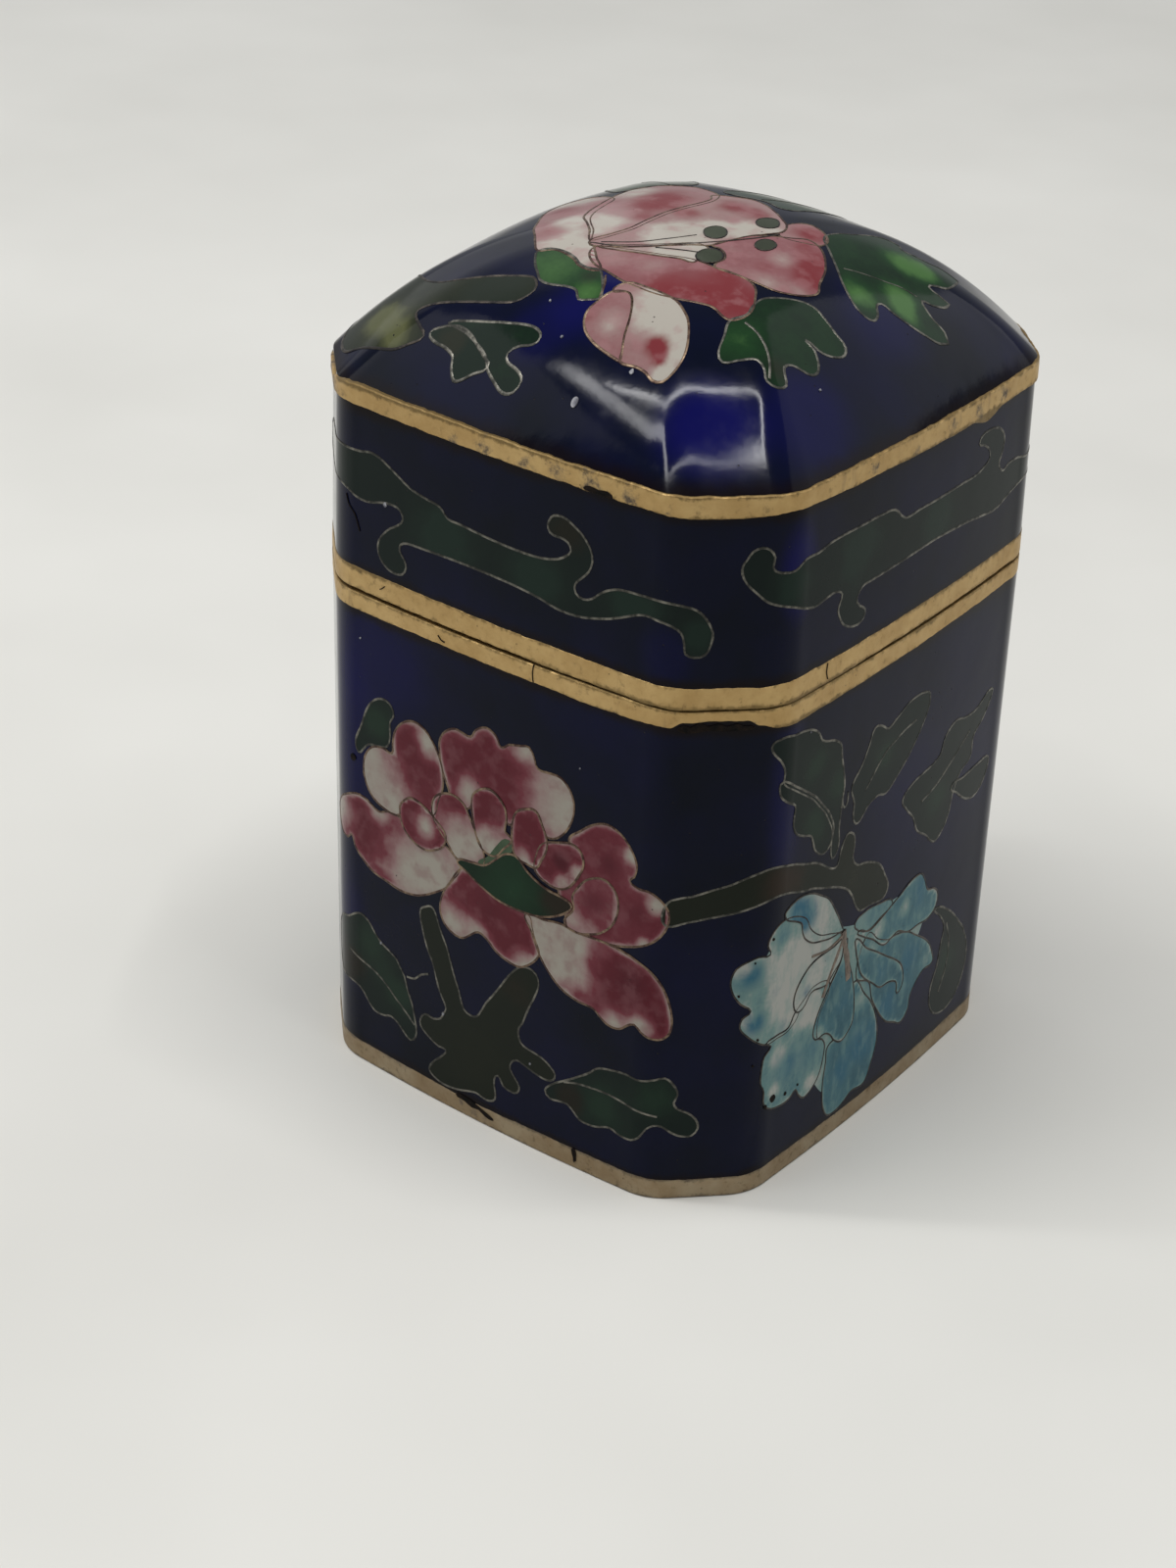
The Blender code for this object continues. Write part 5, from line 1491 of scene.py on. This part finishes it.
buildMotif("peony", peonyCells, onWall, peonyEnamel, (), rosyWire, dice=0.5)
buildMotif("peonyHeart", peonyGreens, onWall, brightGreen, (), rosyWire, dice=0.6)
buildMotif("chrysanthemum", bloomCells, onWall, bloomEnamel, (), darkWire, wireWidth=0.17, dice=0.5)
buildMotif("bloomHeart", [], onWall, bloomEnamel, bloomHeart, umberWire)
buildMotif("wallLeaves", leafCells, onWall, leafEnamel, leafWires, greyWire, dice=0.8)
buildMotif("wallStems", stemCells, onWall, stemEnamel, (), greyWire, dice=0.8)
buildMotif("lidScrolls", scrollCells, onWall, scrollEnamel, (), greyWire, dice=0.8)
buildMotif("crownFlower", crownCells, onDome, crownEnamel, crownInnerWires, rosyWire, dice=0.5)
buildMotif("crownPistils", pistilCells, onDome, pistilEnamel, pistilWires, darkWire, wireWidth=0.12, dice=0.5)
buildMotif("crownLeaves", crownLeaves, onDome, crownLeafEnamel, crownLeafWires, greyWire, dice=0.6)
buildMotif("crownStem", crownStem, onDome, crownStemEnamel, (), darkWire, dice=0.7)
drawSprays()


# pits, chips and hairline cracks: s, z and radius on the walls, x, y and radius on the dome, and lines
wear = {
    "darkPits": [(14.9, 20.9, 0.32), (-36.0, 30.5, 0.34), (6.5, 8.6, 0.42), (5.6, 8.2, 0.22), (8.2, 8.2, 0.2),
                 (4.3, 15.4, 0.13), (2.4, 20.0, 0.12), (9.9, 8.2, 0.14), (3.6, 23.0, 0.1), (5.2, 24.8, 0.14),
                 (4.0, 12.9, 0.12), (-22.2, 1.4, 0.16)],
    "palePits": [(-25.7, 9.4, 0.16), (-32.9, 13.4, 0.14), (-32.2, 54.7, 0.22), (-35.0, 42.0, 0.09),
                 (-12.0, 38.5, 0.07), (-16.2, 8.6, 0.12), (8.0, 42.5, 0.08)],
    "domePits": [(5.0, -21.2, 0.34), (1.0, -17.8, 0.12), (8.0, -18.3, 0.2), (-2.0, -15.5, 0.1),
                 (18.9, -9.5, 0.1)],
    "scrapes": [
        [(-24.2, 1.75), (-23.2, 1.95), (-22.2, 1.8), (-21.3, 1.5), (-20.4, 1.2), (-20.0, 0.9), (-20.9, 0.95),
         (-21.6, 1.3), (-22.4, 1.2), (-23.2, 1.5)],
        [(-3.6, 44.45), (-3.1, 44.9), (-2.6, 44.7), (-1.9, 45.1), (-1.3, 44.75), (-0.5, 44.95), (0.2, 44.7),
         (0.9, 44.9), (1.5, 44.7), (2.3, 44.55), (1.4, 44.35), (0.2, 44.3), (-1.2, 44.4), (-2.6, 44.25)],
        [(-12.6, 62.1), (-12.0, 62.4), (-11.2, 62.3), (-10.4, 62.4), (-9.9, 62.0), (-10.8, 61.95),
         (-12.0, 61.95)],
        [(-11.7, 1.9), (-11.3, 1.9), (-11.2, 1.2), (-11.35, 0.6), (-11.5, 1.1)],
    ],
    "cracks": [
        [(-36.6, 54.3), (-36.2, 53.4), (-35.6, 52.9), (-35.0, 51.5)],
        [(-16.7, 46.0), (-16.8, 45.2), (-16.7, 44.5)],
        [(-32.2, 47.6), (-32.5, 47.3), (-32.7, 47.2)],
        [(-26.4, 45.3), (-26.1, 45.0), (-25.7, 44.9)],
        [(-11.4, 1.8), (-11.5, 1.2), (-11.2, 0.8)],
        [(-8.2, 62.0), (-8.4, 62.6), (-8.2, 63.3)],
        [(9.6, 47.9), (9.5, 47.2), (9.7, 46.5)],
    ],
}


# layers that lie over every cell of the walls and of the shoulder's band
wearLayer, bandLayer = 5, 13


def pitCell(x, y, radius):
    line = []
    for k in range(7):
        angle = k * math.tau / 7
        wide = 0.8 + 0.35 * noise.noise(Vector((x, y, k)))
        tall = 0.9 + 0.35 * noise.noise(Vector((y, x, k)))
        line.append((x + math.cos(angle) * radius * wide, y + math.sin(angle) * radius * tall))
    return {"layer": wearLayer, "line": line, "wired": False}


def addWear():
    dark = [pitCell(*pit) for pit in wear["darkPits"]]
    for line in wear["scrapes"]:
        onShoulder = line[0][1] > 60
        dark.append({"layer": bandLayer if onShoulder else wearLayer, "line": line, "wired": False})
    cracks = [{"layer": 4, "line": line, "width": 0.09} for line in wear["cracks"]]
    buildMotif("darkPits", dark, onWall, pits, cracks, pits)
    buildMotif("palePits", [pitCell(*pit) for pit in wear["palePits"]], onWall, chipPale)
    buildMotif("domePits", [pitCell(*pit) for pit in wear["domePits"]], onDome, chipPale)


addWear()


# camera, floor and light

# angles in degrees, lens and sensor in millimetres, and distances in widths of the jar
view = {
    "azimuth": 36.976,
    "elevation": 30.102,
    "roll": 1.859,
    "lens": 67.2,
    "sensor": 36.0,
    "clip": (0.005, 10.0),
    "unit": 46.0,
    "across": -0.156378,
    "up": -0.215742,
    "away": 5.447185,
    "aim": 0.75,
}


def placeCamera():
    azimuth, elevation, roll = (math.radians(view[k]) for k in ("azimuth", "elevation", "roll"))
    level = math.cos(elevation)
    back = Vector((math.sin(azimuth) * level, -math.cos(azimuth) * level, math.sin(elevation)))
    right = Vector((math.cos(azimuth), math.sin(azimuth), 0.0))
    up = back.cross(right)
    across = math.cos(roll) * right + math.sin(roll) * up
    over = -math.sin(roll) * right + math.cos(roll) * up
    spot = Vector((0, 0, view["aim"])) + back * view["away"] + across * view["across"] + over * view["up"]
    data = bpy.data.cameras.new("camera")
    data.lens = view["lens"]
    data.sensor_width = view["sensor"]
    data.clip_start, data.clip_end = view["clip"]
    camera = bpy.data.objects.new("camera", data)
    turn = Matrix((across, over, back)).transposed().to_4x4()
    camera.matrix_world = Matrix.Translation(spot * view["unit"] * mm) @ turn
    bpy.context.scene.collection.objects.link(camera)
    bpy.context.scene.camera = camera


table = {
    "dark": (0.66, 0.65, 0.61),
    "light": (0.72, 0.71, 0.67),
    "cloudSize": 60.0,
    "roughness": 0.75,
    "specular": 0.15,
    "halfSize": 1.6,
}


def tabletop():
    paint = Paint("tabletop")
    clouds = paint.noise(table["cloudSize"])
    paint.look("Base Color", paint.ramp(clouds, [(0.3, table["dark"]), (0.7, table["light"])]))
    paint.look("Roughness", table["roughness"])
    paint.look("Specular IOR Level", table["specular"])
    shape = bmesh.new()
    bmesh.ops.create_grid(shape, x_segments=1, y_segments=1, size=table["halfSize"])
    mesh = bpy.data.meshes.new("floor")
    shape.to_mesh(mesh)
    shape.free()
    mesh.materials.append(paint.material)
    floor = bpy.data.objects.new("floor", mesh)
    bpy.context.scene.collection.objects.link(floor)


# in metres from the jar's foot: a frame of lamp strips above it, and soft panels that face it
lights = {
    "stripFar": {"spot": (-0.092, -0.069, 0.67), "size": (0.58, 0.018), "power": 1.55, "turn": 37},
    "stripNear": {"spot": (0.031, -0.233, 0.67), "size": (0.58, 0.010), "power": 0.6, "turn": 37},
    "stripLeft": {"spot": (-0.300, -0.320, 0.67), "size": (0.050, 0.26), "power": 1.05, "turn": 50},
    "stripRight": {"spot": (0.195, 0.017, 0.67), "size": (0.018, 0.21), "power": 0.65, "turn": 30},
    "panelLeft": {"spot": (-0.52, -0.28, 0.52), "size": (0.4, 0.3), "power": 0.5},
    "panelRight": {"spot": (0.40, 0.62, 0.60), "size": (0.8, 0.6), "power": 1.3},
    "panelBack": {"spot": (-0.95, 0.55, 0.70), "size": (1.0, 0.9), "power": 1.2},
}
room = {"colour": (0.93, 0.95, 0.97), "strength": 0.36, "lampAim": 0.04}


def placeLights():
    target = Vector((0, 0, room["lampAim"]))
    for name, facts in lights.items():
        spot = Vector(facts["spot"])
        data = bpy.data.lights.new(name, "AREA")
        data.shape = "RECTANGLE"
        data.size, data.size_y = facts["size"]
        data.energy = facts["power"]
        lamp = bpy.data.objects.new(name, data)
        if "turn" in facts:
            facing = Matrix.Rotation(math.radians(facts["turn"]), 4, "Z")
        else:
            facing = (spot - target).to_track_quat("Z", "Y").to_matrix().to_4x4()
        lamp.matrix_world = Matrix.Translation(spot) @ facing
        bpy.context.scene.collection.objects.link(lamp)
    world = bpy.data.worlds.new("room")
    world.use_nodes = True
    glow = world.node_tree.nodes["Background"]
    glow.inputs["Color"].default_value = (*room["colour"], 1.0)
    glow.inputs["Strength"].default_value = room["strength"]
    bpy.context.scene.world = world
    bpy.context.scene.view_settings.view_transform = "Standard"


placeCamera()
tabletop()
placeLights()
print("camera, floor and light placed")
